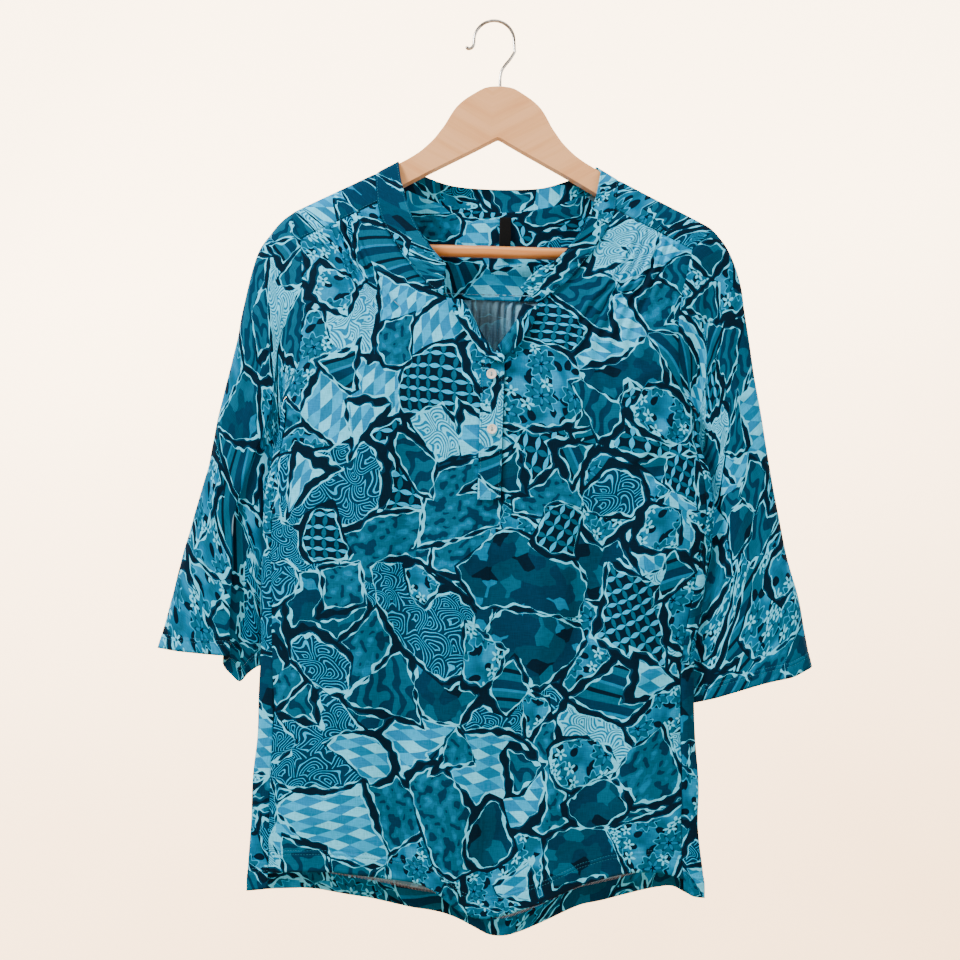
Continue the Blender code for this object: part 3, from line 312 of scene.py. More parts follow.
def finer(count: int, gaps: Grid, spacing: float, least: Grid) -> Grid:
    """Places along a cage's rows or columns, close enough for a smooth surface.

    Args:
        count: Number of the cage's lines.
        gaps: Widest gap between each line and the next, in millimetres.
        spacing: Widest gap wanted.
        least: Fewest steps in each gap.

    Returns:
        Line numbers with fractions, from 0 to count - 1.
    """
    steps = np.maximum(np.ceil(gaps / spacing), least).astype(int)
    parts = [i + np.arange(n) / n for i, n in zip(range(count - 1), steps)]
    return np.concatenate([*parts, [count - 1.0]])


@dataclass
class Panel:
    """A piece of cloth as a grid of points, with the place of each on the flat cloth.

    points are rows by columns by (across, down, depth), and flat is rows by columns by (width, length), in
    millimetres. row_at and column_at are the cage's line numbers. out is 1 where somebody who looks at the
    printed side sees the rows run to the right and the columns down, and -1 where the rows run to the left.
    """

    points: Grid
    flat: Grid
    row_at: Grid
    column_at: Grid
    out: int = 1
    ring: bool = False

    @staticmethod
    def through(
        cage: Grid, spacing: tuple[float, float], least: Grid | int = 1, rows: Sequence[float] = (),
        out: int = 1, ring: bool = False,
    ) -> "Panel":
        """Smooth surface through a cage of points.

        Args:
            cage: Rows by columns of points.
            spacing: Widest gaps wanted along rows and down columns.
            least: Fewest steps between each column and the next.
            rows: More places down the cage, for stitched hems.
            out: Which side is printed.
            ring: True if the last column joins the first.

        Returns:
            The panel, with its flat places measured along its middle and down its columns.
        """
        if ring:
            cage = np.concatenate([cage, cage[:, :1]], axis=1)
        across_gaps = np.linalg.norm(np.diff(cage, axis=1), axis=-1)
        down_gaps = np.linalg.norm(np.diff(cage, axis=0), axis=-1)
        fewest = np.broadcast_to(least, across_gaps.shape[1])
        column_at = finer(cage.shape[1], across_gaps.max(axis=0), spacing[0], fewest)
        row_at = finer(cage.shape[0], down_gaps.max(axis=1), spacing[1], np.ones(len(down_gaps)))
        row_at = np.unique(np.round(np.concatenate([row_at, np.asarray(rows, float)]), 5))
        column_keys = np.concatenate([[0], np.cumsum(across_gaps.mean(axis=0))])
        row_keys = np.concatenate([[0], np.cumsum(down_gaps.mean(axis=1))])
        middle = np.interp(column_at, np.arange(cage.shape[1]), column_keys)
        if ring:
            lap = column_keys[-1]
            keys = np.concatenate([column_keys[-3:-1] - lap, column_keys, column_keys[1:3] + lap])
            wide = np.concatenate([cage[:, -3:-1], cage, cage[:, 1:3]], axis=1)
            points = smooth_at(middle, keys, wide.swapaxes(0, 1)).swapaxes(0, 1)
        else:
            points = smooth_at(middle, column_keys, cage.swapaxes(0, 1)).swapaxes(0, 1)
        points = smooth_at(np.interp(row_at, np.arange(cage.shape[0]), row_keys), row_keys, points)
        panel = Panel(points, np.zeros((*points.shape[:2], 2)), row_at, column_at, out, ring)
        panel.measure(points.shape[1] // 2, points.shape[0] // 2)
        return panel

    def measure(self, column: int, row: int) -> None:
        """Measures the flat places from a column outwards and from a row up and down."""
        across = np.linalg.norm(np.diff(self.points, axis=1), axis=-1)
        width = np.concatenate([np.zeros((len(across), 1)), np.cumsum(across, axis=1)], axis=1)
        down = np.linalg.norm(np.diff(self.points, axis=0), axis=-1)
        length = np.concatenate([np.zeros((1, down.shape[1])), np.cumsum(down, axis=0)], axis=0)
        self.flat[..., 0] = (width - width[:, column:column + 1]) * self.out
        self.flat[..., 1] = length[row:row + 1] - length

    def normals(self) -> Grid:
        """Unit normals of the printed side."""
        run = np.gradient(self.points, axis=1)
        drop = np.gradient(self.points, axis=0)
        if self.ring:
            seam = self.points[:, 1] - self.points[:, -2]
            run[:, 0] = run[:, -1] = seam / 2
        normal = np.cross(run, drop) * -self.out
        return normal / np.maximum(np.linalg.norm(normal, axis=-1, keepdims=True), 1e-9)

    def raise_by(self, height: Grid) -> None:
        """Moves each point out along its normal, in millimetres."""
        self.points = self.points + self.normals() * height[..., None]

    def from_edge(self, side: "Side") -> Grid:
        """Distance of each point from one edge, along its row or column."""
        axis = 0 if side in (Side.TOP, Side.BOTTOM) else 1
        steps = np.linalg.norm(np.diff(self.points, axis=axis), axis=-1)
        if side in (Side.BOTTOM, Side.RIGHT):
            steps = np.flip(steps, axis=axis)
        start = np.zeros_like(np.take(steps, [0], axis=axis))
        distance = np.concatenate([start, np.cumsum(steps, axis=axis)], axis=axis)
        return np.flip(distance, axis=axis) if side in (Side.BOTTOM, Side.RIGHT) else distance

    def roll(self, sides: Iterable["Side"], drop: float = 0.9, width: float = 3.0) -> None:
        """Turns seamed edges in, so that two panels meet in a valley."""
        total = np.zeros(self.points.shape[:2])
        for side in sides:
            total = np.maximum(total, np.exp(-((self.from_edge(side) / width) ** 2)))
        self.raise_by(-drop * total)


class Side(Enum):
    """Edges of a panel, as its rows and columns run."""

    TOP = "top"
    BOTTOM = "bottom"
    LEFT = "left"
    RIGHT = "right"


def new_piece(name: str, points: list, faces: list, finishes: Sequence[Material]) -> Piece:
    """Makes a smooth-shaded object of these points and faces."""
    mesh = bpy.data.meshes.new(name)
    mesh.from_pydata(points, [], faces)
    mesh.shade_smooth()
    for finish in finishes:
        mesh.materials.append(finish)
    piece = bpy.data.objects.new(name, mesh)
    bpy.context.scene.collection.objects.link(piece)
    return piece


def shell(
    name: str, panel: Panel, finishes: Sequence[Material], wall: float, centred: bool = False,
    keep: Grid | None = None, cloth_shift: tuple[float, float] = (0.0, 0.0),
) -> Piece:
    """Makes a panel a thin shell with its print laid on flat places.

    Args:
        name: Name of the piece.
        panel: The panel, printed side out.
        finishes: The printed side's material and the wrong side's.
        wall: Thickness of the cloth in millimetres.
        centred: True to thicken to both sides, as on a folded band.
        keep: True for each face, rows by columns, that is there.
        cloth_shift: Where on the printed cloth the piece was cut, in millimetres.

    Returns:
        The piece, which settle() still has to put on the body.
    """
    rows, columns = panel.points.shape[:2]
    row, column = np.meshgrid(np.arange(rows - 1), np.arange(columns - 1), indexing="ij")
    if keep is not None:
        row, column = row[keep], column[keep]
    corners = [(row, column), (row + 1, column), (row + 1, column + 1), (row, column + 1)][::panel.out]
    lap = columns - 1 if panel.ring else columns
    faces = np.stack([(r * lap + c % lap).ravel() for r, c in corners], axis=-1)
    spots = HUNG.place(panel.points[:, :lap]).reshape(-1, 3)
    used, faces = np.unique(faces, return_inverse=True)
    faces = faces.reshape(-1, 4)
    piece = new_piece(name, spots[used].tolist(), faces.tolist(), finishes)
    layer = piece.data.uv_layers.new(name="Cloth")
    flat = panel.flat + np.array(cloth_shift)
    places = np.stack([flat[r, c].reshape(-1, 2) for r, c in corners], axis=1).reshape(-1, 2)
    layer.data.foreach_set("uv", (places / CLOTH_UNIT).astype(np.float32).ravel())
    thicken = piece.modifiers.new("Wall", "SOLIDIFY")
    thicken.thickness = wall / 1000
    thicken.offset = 0.0 if centred else -1.0
    thicken.use_even_offset = False
    thicken.material_offset = len(finishes) - 1
    thicken.material_offset_rim = 0
    return piece


def settle(piece: Piece, node: str) -> None:
    """Puts a finished piece on the body and hides the solid that it stands for."""
    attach(piece, BODY_NAME)
    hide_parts(node)
    LOG.info("%s: %d faces", piece.name, len(piece.data.polygons))


def apply_modifiers(piece: Piece) -> None:
    """Applies every modifier of a piece, in order."""
    bpy.ops.object.select_all(action="DESELECT")
    bpy.context.view_layer.objects.active = piece
    piece.select_set(True)
    for modifier in list(piece.modifiers):
        bpy.ops.object.modifier_apply(modifier=modifier.name)
    piece.select_set(False)


@dataclass(frozen=True)
class FrontPanel:
    """Front of the blouse, from the yoke seams to the hem, slit for the placket.

    rows are down at the armhole or side seam, then the neck or placket edge's across and down on the left
    and on the right. Gathers are their start and end, as shares of the way from armhole to neck, and number.
    gather_rise is how high the gathers stand in each row, and seam_depth is the yoke seam's depth by across.
    Creases are start across and down, end across and down, bow, half-width and height.
    """

    rows: Table = (
        (105.0, -118.2, 66.6, 118.2, 66.6), (110.0, -111.6, 87.2, 111.6, 87.2),
        (121.0, -102.6, 101.8, 102.6, 101.8), (135.0, -92.5, 116.9, 92.5, 116.9),
        (150.0, -78.3, 133.9, 77.4, 134.9), (163.0, -61.2, 151.0, 56.3, 154.0),
        (175.0, -50.0, 158.0, 45.0, 163.5), (186.0, -35.0, 169.0, 33.5, 177.0),
        (199.0, -24.0, 187.0, 22.0, 192.0), (216.0, -9.0, 213.0, 13.2, 210.0),
        (240.0, -9.0, 238.0, 13.2, 236.0), (267.0, -9.0, 266.0, 13.2, 266.0),
        (296.0, -9.0, 295.0, 13.2, 295.0), (326.0, -9.0, 326.0, 13.2, 326.0),
        (357.0, -9.0, 357.0, 13.2, 357.0),
    )
    hem: Table = (
        (-212, 741), (-194, 739), (-173, 738), (-148, 738), (-117, 740), (-85, 743), (-57, 748), (-41, 755),
        (-22, 770), (-8, 777), (6, 779.5), (23, 777), (49, 768.5), (64, 763), (83, 754), (103, 744),
        (129, 736), (154, 730), (169, 729), (184, 729), (203, 734), (212, 737),
    )
    gathered: tuple[float, float, float, float] = (122, 134, 176, 188)
    gathers_left: tuple[float, float, int] = (0.36, 0.68, 5)
    gathers_right: tuple[float, float, int] = (0.20, 0.72, 6)
    gather_rise: Table = ((0, 0.35), (1, 1.2), (2, 1.7), (5, 1.9), (8, 1.2), (11, 0.5), (13, 0))
    seam_depth: Table = ((118.2, -15.0), (197.5, -16.9))
    lower_start: float = PLACKET_END
    lower_end: float = 738.0
    lower_rows: int = 8
    hem_width: float = 20.0
    wall: float = 0.5
    strength: float = 1.7
    creases: Table = (
        (-186, 262, -120, 330, -8, 5.0, 1.6), (-188, 278, -138, 352, -6, 6.0, -1.2),
        (-170, 232, -108, 268, 6, 6.0, 1.0), (186, 262, 122, 328, 8, 5.0, 1.7),
        (188, 282, 140, 360, 6, 6.0, -1.3), (172, 228, 112, 262, -6, 6.0, 1.0),
        (-96, 300, -104, 520, 8, 7.0, 1.1), (-58, 380, -66, 640, -6, 8.0, -0.9),
        (-150, 420, -158, 690, 5, 8.0, 1.0), (44, 360, 50, 600, 6, 7.0, 0.9),
        (92, 330, 96, 560, -6, 8.0, -1.0), (136, 400, 142, 690, 6, 8.0, 1.2),
        (-14, 366, -40, 470, 6, 4.5, 0.9), (16, 366, 40, 460, -6, 4.5, 0.9),
        (-16, 300, -60, 318, 3, 3.5, 0.5), (18, 262, 58, 276, -3, 3.5, 0.5),
        (-12, 246, -48, 236, 3, 3.0, 0.5), (18, 322, 64, 344, 4, 4.0, 0.6),
        (-190, 560, -120, 590, 10, 9.0, 0.9), (190, 520, 118, 560, -12, 9.0, 0.9),
        (186, 650, 120, 670, 8, 10.0, -0.8), (-186, 660, -96, 676, -8, 10.0, 0.8),
        (-40, 660, 60, 690, 10, 12.0, 0.8), (-80, 560, 10, 540, 8, 12.0, 0.7),
    )

    def hem_at(self, across: Grid) -> Grid:
        """Down of the hem below these places."""
        rows = np.array(self.hem)
        return smooth_at(across, rows[:, 0], rows[:, 1])

    def lower_levels(self) -> Grid:
        """Downs of the side seam's points below the placket, the same for front and back."""
        run = np.arange(1, self.lower_rows + 1) / self.lower_rows
        return self.lower_start + (self.lower_end - self.lower_start) * run

    def half(self, side: int, gathers: tuple[float, float, int], before: int, after: int) -> Grid:
        """Rows of one half from the side to the middle.

        Args:
            side: -1 for the left half and 1 for the right.
            gathers: Start, end and count of the gathers.
            before: Columns between the armhole and the gathers.
            after: Columns between the gathers and the neck.

        Returns:
            Rows by columns of points.
        """
        start, end, pleats = gathers
        near_side = np.array([0, 0.012, 0.04])
        shares = np.concatenate([
            near_side, np.linspace(0, start, before + 1)[1:-1], np.linspace(start, end, 2 * pleats + 1),
            np.linspace(end, 1, after + 1)[1:],
        ])
        evenly = np.concatenate([near_side, np.linspace(0.04, 1, len(shares) - 2)[1:]])
        inner = 1 if side < 0 else 3
        lines = []
        for number, row in enumerate(self.rows):
            here = shares + (evenly - shares) * np.clip((number - 6) / 8, 0, 1)
            outer = FORM.side_seam(row[0], side)
            across = outer + (row[inner] - outer) * here
            downs = row[0] + (row[inner + 1] - row[0]) * here
            lines.append(np.stack([across, downs], axis=-1))
        middle = lines[-1][-1, 0]
        for down in self.lower_levels():
            share = (down - self.lower_start) / (self.lower_end - self.lower_start)
            outer = FORM.side_seam(down, side)
            across = outer + (middle - outer) * evenly
            lines.append(np.stack([across, down + (self.hem_at(across) - self.lower_end) * share], axis=-1))
        flat = np.array(lines)
        cage = FORM.on_front(flat[..., 0], flat[..., 1])
        seam_depth = np.interp(np.abs(flat[0, :, 0]), *np.array(self.seam_depth).T)
        cage[0, :, 2] = seam_depth
        cage[1, :, 2] += (seam_depth - FORM.front_depth(flat[0, :, 0], flat[0, :, 1])) * 0.5
        ridge = np.where((shares > start + 1e-6) & (shares < end - 1e-6), 1.0, 0.0)
        turn = np.round((shares - start) / ((end - start) / (2 * pleats)))
        wave = ridge * np.where(turn % 2 == 0, -1, 1)
        uneven = 1 + 0.35 * np.sin(turn * 2.4 + side)
        rise = np.interp(np.arange(len(flat)), *np.array(self.gather_rise).T)
        cage[..., 2] -= rise[:, None] * (wave * uneven)[None, :]
        return cage

    def panel(self) -> tuple[Panel, Grid]:
        """The whole front and which of its faces are there, the slit's being left out."""
        left = self.half(-1, self.gathers_left, 4, 5)
        right = self.half(1, self.gathers_right, 3, 5)[:, ::-1]
        middle = ((left[:, -1] + right[:, 0]) / 2)[:, None]
        middle[-1, 0, 1] = self.hem_at(middle[-1, 0, 0])
        middle[:, 0, 2] = FORM.front_depth(middle[:, 0, 0], middle[:, 0, 1])
        cage = HUNG.level(np.concatenate([left, middle, right], axis=1))
        least = np.ones(cage.shape[1] - 1)
        least[5:17] = least[-20:-4] = 3
        last = cage.shape[0] - 1
        hem_rows = last - np.arange(14.5, 25.5, HEM_ROW) / np.linalg.norm(cage[-1, 0] - cage[-2, 0])
        panel = Panel.through(cage, (3.0, 3.4), least, hem_rows)
        slit = (left.shape[1] - 1, left.shape[1] + 1)
        column, row = panel.column_at, panel.row_at
        in_slit = (column[:-1] >= slit[0] - 1e-6) & (column[1:] <= slit[1] + 1e-6)
        above = row[1:] <= len(self.rows) - 1 + 1e-6
        panel.measure(int(np.argmin(abs(column - slit[0] - 1))), int(np.argmin(abs(row - 14))))
        return panel, ~(in_slit[None, :] & above[:, None])

    def crease(self, panel: Panel) -> None:
        """Adds the fine creases, the hem's fold and stitched grooves, and the turned seam edges."""
        height = worn(panel, self.creases, self.strength, 11, 0.85, (6, 40))
        wide = np.abs(panel.points[..., 0])
        inside = ramp(wide, *self.gathered[:2]) * (1 - ramp(wide, *self.gathered[2:]))
        height = height + gather_relief(panel.from_edge(Side.TOP), panel.flat[..., 0], inside, 61)
        height = height + hem_relief(panel.from_edge(Side.BOTTOM), panel.flat[..., 0], self.hem_width, 4)
        panel.raise_by(height)
        panel.roll([Side.TOP, Side.LEFT, Side.RIGHT])


def worn(
    panel: Panel, creases: Table, strength: float, seed: int, swell: float, calm: tuple[float, float],
) -> Grid:
    """Creases and low swells of worn cloth.

    Args:
        panel: The panel in its plain form.
        creases: The creases, listed one by one.
        strength: How much higher they stand than their table says.
        seed: Seed of the swells.
        swell: Height of the swells.
        calm: Distances from the top seam between which they set in.

    Returns:
        Height of the cloth above its plain form.
    """
    across, down = panel.points[..., 0], panel.points[..., 1]
    height = strength * creases_at(across, down, creases) + softness(across, down, seed, swell)
    return height * ramp(panel.from_edge(Side.TOP), *calm)


def gather_relief(below: Grid, way: Grid, inside: Grid, seed: int) -> Grid:
    """Fine tucks of a gathered edge, uneven in width and depth, that die out below the seam.

    Args:
        below: Distance below the seam.
        way: Place along the seam, on the flat cloth.
        inside: 1 where the edge is gathered, 0 elsewhere.
        seed: Number of the draw.

    Returns:
        Height of the cloth above its plain form.
    """
    source = np.random.default_rng(seed)
    tucks = np.zeros(np.shape(below))
    for width, reach, height in ((5.2, 16.0, 0.55), (8.6, 30.0, 0.7), (13.5, 52.0, 0.6)):
        phase, drift = source.uniform(0, 6.28), source.uniform(9, 15)
        turn = 2 * math.pi * way / width + phase + 1.4 * np.sin(way / drift + phase)
        tucks = tucks + height * (np.abs(np.sin(turn / 2)) * 2 - 1.2) * np.exp(-below / reach)
    return tucks * inside * ramp(below, 0, 4)


def hem_relief(low: Grid, way: Grid, width: float, seed: int) -> Grid:
    """Height of a turned-up hem: a double layer with two sunk rows of stitches and light puckers.

    Args:
        low: Distance above the hem's edge.
        way: Distance along the hem.
        width: Width of the turned-up cloth.
        seed: Seed of the puckers.

    Returns:
        Height above the single cloth.
    """
    source = np.random.default_rng(seed)
    double = 0.35 * (1 - ramp(low, width - 1, width + 2.5))
    grooves = sum(0.42 * np.exp(-((low - width - needle) ** 2)) for needle in TWIN_NEEDLE)
    pucker = np.zeros_like(low)
    for _ in range(6):
        length, phase = source.uniform(11, 27), source.uniform(0, 6.28)
        pucker = pucker + np.sin(2 * math.pi * way / length + phase)
    return double - grooves + 0.16 * pucker * np.exp(-(((low - width * 0.8) / 12) ** 2))


@dataclass(frozen=True)
class Yoke:
    """Yoke over both shoulders and its facing inside the back neck.

    Ribs run from the neck to the armhole or the back seam: across, down and depth at the neck, then at the
    outer end on the left and on the right, from the front seam over the hanger to the middle of the back.
    """

    ribs: Table = (
        (116.8, 69.9, -15.0, 191.8, 108.9, -16.9, 194.0, 108.9, -16.9),
        (118.7, 54.2, -11.5, 196.6, 99.3, -13.6, 201.5, 101.0, -13.6),
        (120.0, 44.0, -8.8, 202.0, 87.0, -9.5, 212.0, 91.0, -9.5),
        (119.6, 39.2, -5.4, 203.8, 82.0, -5.4, 215.3, 85.8, -5.4),
        (119.4, 38.0, 0.0, 204.0, 80.6, 0.0, 216.0, 84.2, 0.0),
        (119.2, 39.2, 5.4, 204.0, 82.2, 5.4, 215.6, 85.8, 5.4),
        (117.5, 44.0, 8.8, 203.0, 88.0, 9.8, 213.0, 92.0, 9.8),
        (109.2, 45.7, 12.0, 202.8, 101.5, 15.5, 210.2, 104.6, 15.5),
        (91.3, 51.9, 15.0, 200.4, 128.2, 19.0, 201.7, 130.2, 19.0),
        (76.2, 57.5, 16.8, 199.8, 158.4, 21.0, 196.0, 158.4, 21.0),
        (61.0, 62.8, 18.2, 155.2, 158.5, 23.4, 153.5, 158.5, 23.4),
        (45.8, 66.0, 19.4, 114.4, 158.4, 23.9, 114.7, 158.4, 23.9),
        (30.6, 68.7, 20.2, 76.5, 158.2, 24.0, 76.9, 158.2, 24.0),
        (15.3, 70.3, 20.8, 37.7, 157.9, 24.0, 38.0, 157.9, 24.0),
        (0.0, 71.0, 21.0, -0.2, 157.9, 24.0, 0.2, 157.9, 24.0),
    )
    facing_from: int = 8
    facing_gap: float = 1.9
    facing_lap: float = 1.9
    wall: float = 0.5

    def outer_edge(self, side: int) -> Grid:
        """Outer ends of the ribs on one side, from the front seam to the middle of the back."""
        first = 3 if side < 0 else 6
        return np.array(self.ribs)[:, first:first + 3] * (side, 1, 1)

    def cage(self) -> Grid:
        """Ribs by places from the neck outwards, from the left front round the back to the right front."""
        neck = np.array(self.ribs)[:, :3]
        neck = np.concatenate([neck * (-1, 1, 1), neck[::-1][1:]])
        outer = np.concatenate([self.outer_edge(-1), self.outer_edge(1)[::-1][1:]])
        shares = np.linspace(0, 1, 8)
        return neck[:, None] + (outer - neck)[:, None] * shares[None, :, None]

    def panels(self) -> tuple[Panel, Panel]:
        """The yoke and its facing."""
        cage = self.cage()
        yoke = Panel.through(cage, (3.0, 2.4))
        yoke.raise_by(softness(yoke.points[..., 0], yoke.points[..., 1], 31, 0.22) * 0.8)
        yoke.roll([Side.TOP, Side.BOTTOM, Side.LEFT, Side.RIGHT], drop=0.7)
        inner = cage[self.facing_from:len(cage) - self.facing_from].copy()
        inner[..., 2] -= self.facing_gap
        way = inner[:, 0, :2] - inner[:, -1, :2]
        inner[:, 0, :2] += way / np.linalg.norm(way, axis=-1, keepdims=True) * self.facing_lap
        facing = Panel.through(inner, (3.0, 3.0), out=-1)
        facing.raise_by(softness(facing.points[..., 0], facing.points[..., 1], 37, 0.12))
        return yoke, facing


YOKE = Yoke()


@dataclass(frozen=True)
class BackPanel:
    """Back of the blouse below the yoke, with its gathers in the middle and its longer, rounded hem."""

    hem: Table = (
        (-236, 759), (-219, 757), (-189, 754), (-156, 755), (-135, 758), (-117, 760), (-57, 771), (-38, 773),
        (-21, 779), (-2, 788), (10, 794), (25, 796), (42, 792), (60, 784), (84, 772), (101, 764), (124, 758),
        (148, 751), (165, 746), (185, 742), (203, 743), (216, 752), (234, 751),
    )
    gathered: tuple[float, float] = (36.0, 52.0)
    gathers: tuple[float, float, int] = (-31.0, 27.0, 8)
    gathered_width: float = 388.0
    gather_rise: Table = ((0, 0.25), (1, 0.6), (2, 1.5), (4, 1.9), (6, 1.4), (11, 0))
    levels: tuple[float, ...] = (163, 172, 186, 204, 224, 242, 256, 267, 296, 326)
    tuck_at: float = 155.5
    tuck_depth: float = 1.15
    hem_end: float = 757.0
    hem_width: float = 20.0
    wall: float = 0.5
    strength: float = 1.7
    creases: Table = (
        (-180, 270, -96, 350, -10, 7.0, 1.6), (182, 270, 98, 352, 10, 7.0, 1.6),
        (-176, 236, -110, 258, 6, 6.0, 1.1), (176, 234, 112, 262, -6, 6.0, 1.0),
        (-60, 260, -70, 520, 8, 8.0, 1.2), (62, 270, 74, 540, -8, 8.0, 1.1),
        (-20, 330, -16, 640, 6, 8.0, -1.0), (24, 300, 20, 620, -6, 8.0, 0.9),
        (-150, 420, -156, 700, 6, 9.0, 1.0), (146, 400, 152, 700, -6, 9.0, 1.1),
        (-190, 540, -110, 580, 10, 10.0, 0.9), (190, 560, 100, 590, -10, 10.0, 0.9),
        (-60, 640, 80, 668, 10, 12.0, 0.8),
    )

    def row(self, low: float) -> Grid:
        """One row of the back from side seam to side seam, as a fine line."""
        if low < UNDERARM:
            rows = np.array(FORM.armhole_back)
            left = -smooth_at(low, rows[:, 0], rows[:, 1])
            right = smooth_at(low, rows[:, 0], rows[:, 2])
            across = np.linspace(left, right, 241)
            return np.stack([across, np.full_like(across, low), FORM.back_depth(across, low)], axis=-1)
        nose_left, nose_right = FORM.section(1, low), FORM.section(2, low)
        spread = np.sin(np.linspace(-np.pi / 2, np.pi / 2, 361))
        across = np.where(spread < 0, nose_left, nose_right) * spread
        back = np.stack([across, np.full_like(across, low), FORM.back_depth(across, low)], axis=-1)
        strips = {}
        for side, nose in ((-1, nose_left), (1, nose_right)):
            seam = abs(FORM.side_seam(low, side))
            run = np.linspace(0, 1, 24)[:-1]
            wrapped = side * (seam + (nose - seam) * np.sin(run * np.pi / 2))
            strips[side] = FORM.on_front(wrapped, np.full_like(wrapped, low))
        return np.concatenate([strips[-1], back, strips[1][::-1]])

    def tucked(self, top: Grid) -> Grid:
        """Seam allowance of the top edge, which lies between the yoke and its facing."""
        yoke = np.concatenate([YOKE.outer_edge(-1)[9:], YOKE.outer_edge(1)[9:][::-1]])
        across = top[:, 0] * 0.992
        depth = np.interp(across, yoke[:, 0], yoke[:, 2]) - self.tuck_depth
        return np.stack([across, np.full_like(across, self.tuck_at), depth], axis=-1)

    def panel(self, levels_below: Grid) -> Panel:
        """The whole back.

        Args:
            levels_below: Downs of the side seam's points below the placket.

        Returns:
            The panel, its rows running from the left side seam to the right one.
        """
        levels = np.concatenate([
            self.levels, [PLACKET_END], levels_below[:-1], [self.hem_end],
        ])
        start, end, pleats = self.gathers
        outer = np.array([0, 0.012, 0.035, 0.07, 0.11, 0.16, 0.22, 0.28, 0.34, 0.39])
        middle = 0.5 + np.linspace(start, end, 2 * pleats + 1) / self.gathered_width
        shares = np.concatenate([outer, middle, (1 - outer)[::-1]])
        inner = np.linspace(0.035, 0.965, len(shares) - 4)[1:-1]
        evenly = np.concatenate([outer[:3], inner, (1 - outer[:3])[::-1]])
        hem = np.array(self.hem)
        rows = []
        for low in levels:
            row = even(self.row(low), shares + (evenly - shares) * np.clip((low - 300) / 160, 0, 1))
            share = np.clip((low - PLACKET_END) / (self.hem_end - PLACKET_END), 0, 1)
            row[:, 1] += (smooth_at(row[:, 0], hem[:, 0], hem[:, 1]) - self.hem_end) * share**2
            rows.append(row)
        cage = np.array([self.tucked(rows[0]), *rows])
        number = np.arange(len(shares))
        inside = (number > len(outer)) & (number < len(outer) + 2 * pleats)
        wave = inside * np.where(number % 2 == 0, -1.0, 1.0) * (1 + 0.35 * np.sin(number * 1.9))
        rise = np.interp(np.arange(len(cage)), *np.array(self.gather_rise).T)
        cage[..., 2] += rise[:, None] * wave[None, :]
        cage = HUNG.level(cage)
        least = np.ones(cage.shape[1] - 1)
        least[9:27] = 3
        last = cage.shape[0] - 1
        hem_rows = last - np.arange(14.5, 25.5, HEM_ROW) / np.linalg.norm(cage[-1, 18] - cage[-2, 18])
        panel = Panel.through(cage, (3.2, 3.6), least, hem_rows, out=-1)
        panel.measure(panel.points.shape[1] // 2, int(np.argmin(abs(panel.row_at - 11))))
        return panel

    def crease(self, panel: Panel) -> None:
        """Adds the fine creases, the hem and the turned seam edges."""
        height = worn(panel, self.creases, self.strength, 23, 0.85, (6, 40))
        inside = 1 - ramp(np.abs(panel.points[..., 0]), *self.gathered)
        height = height + gather_relief(panel.from_edge(Side.TOP), panel.flat[..., 0], inside, 67)
        height = height + hem_relief(panel.from_edge(Side.BOTTOM), panel.flat[..., 0], self.hem_width, 9)
        panel.raise_by(height)
        panel.roll([Side.TOP, Side.LEFT, Side.RIGHT])


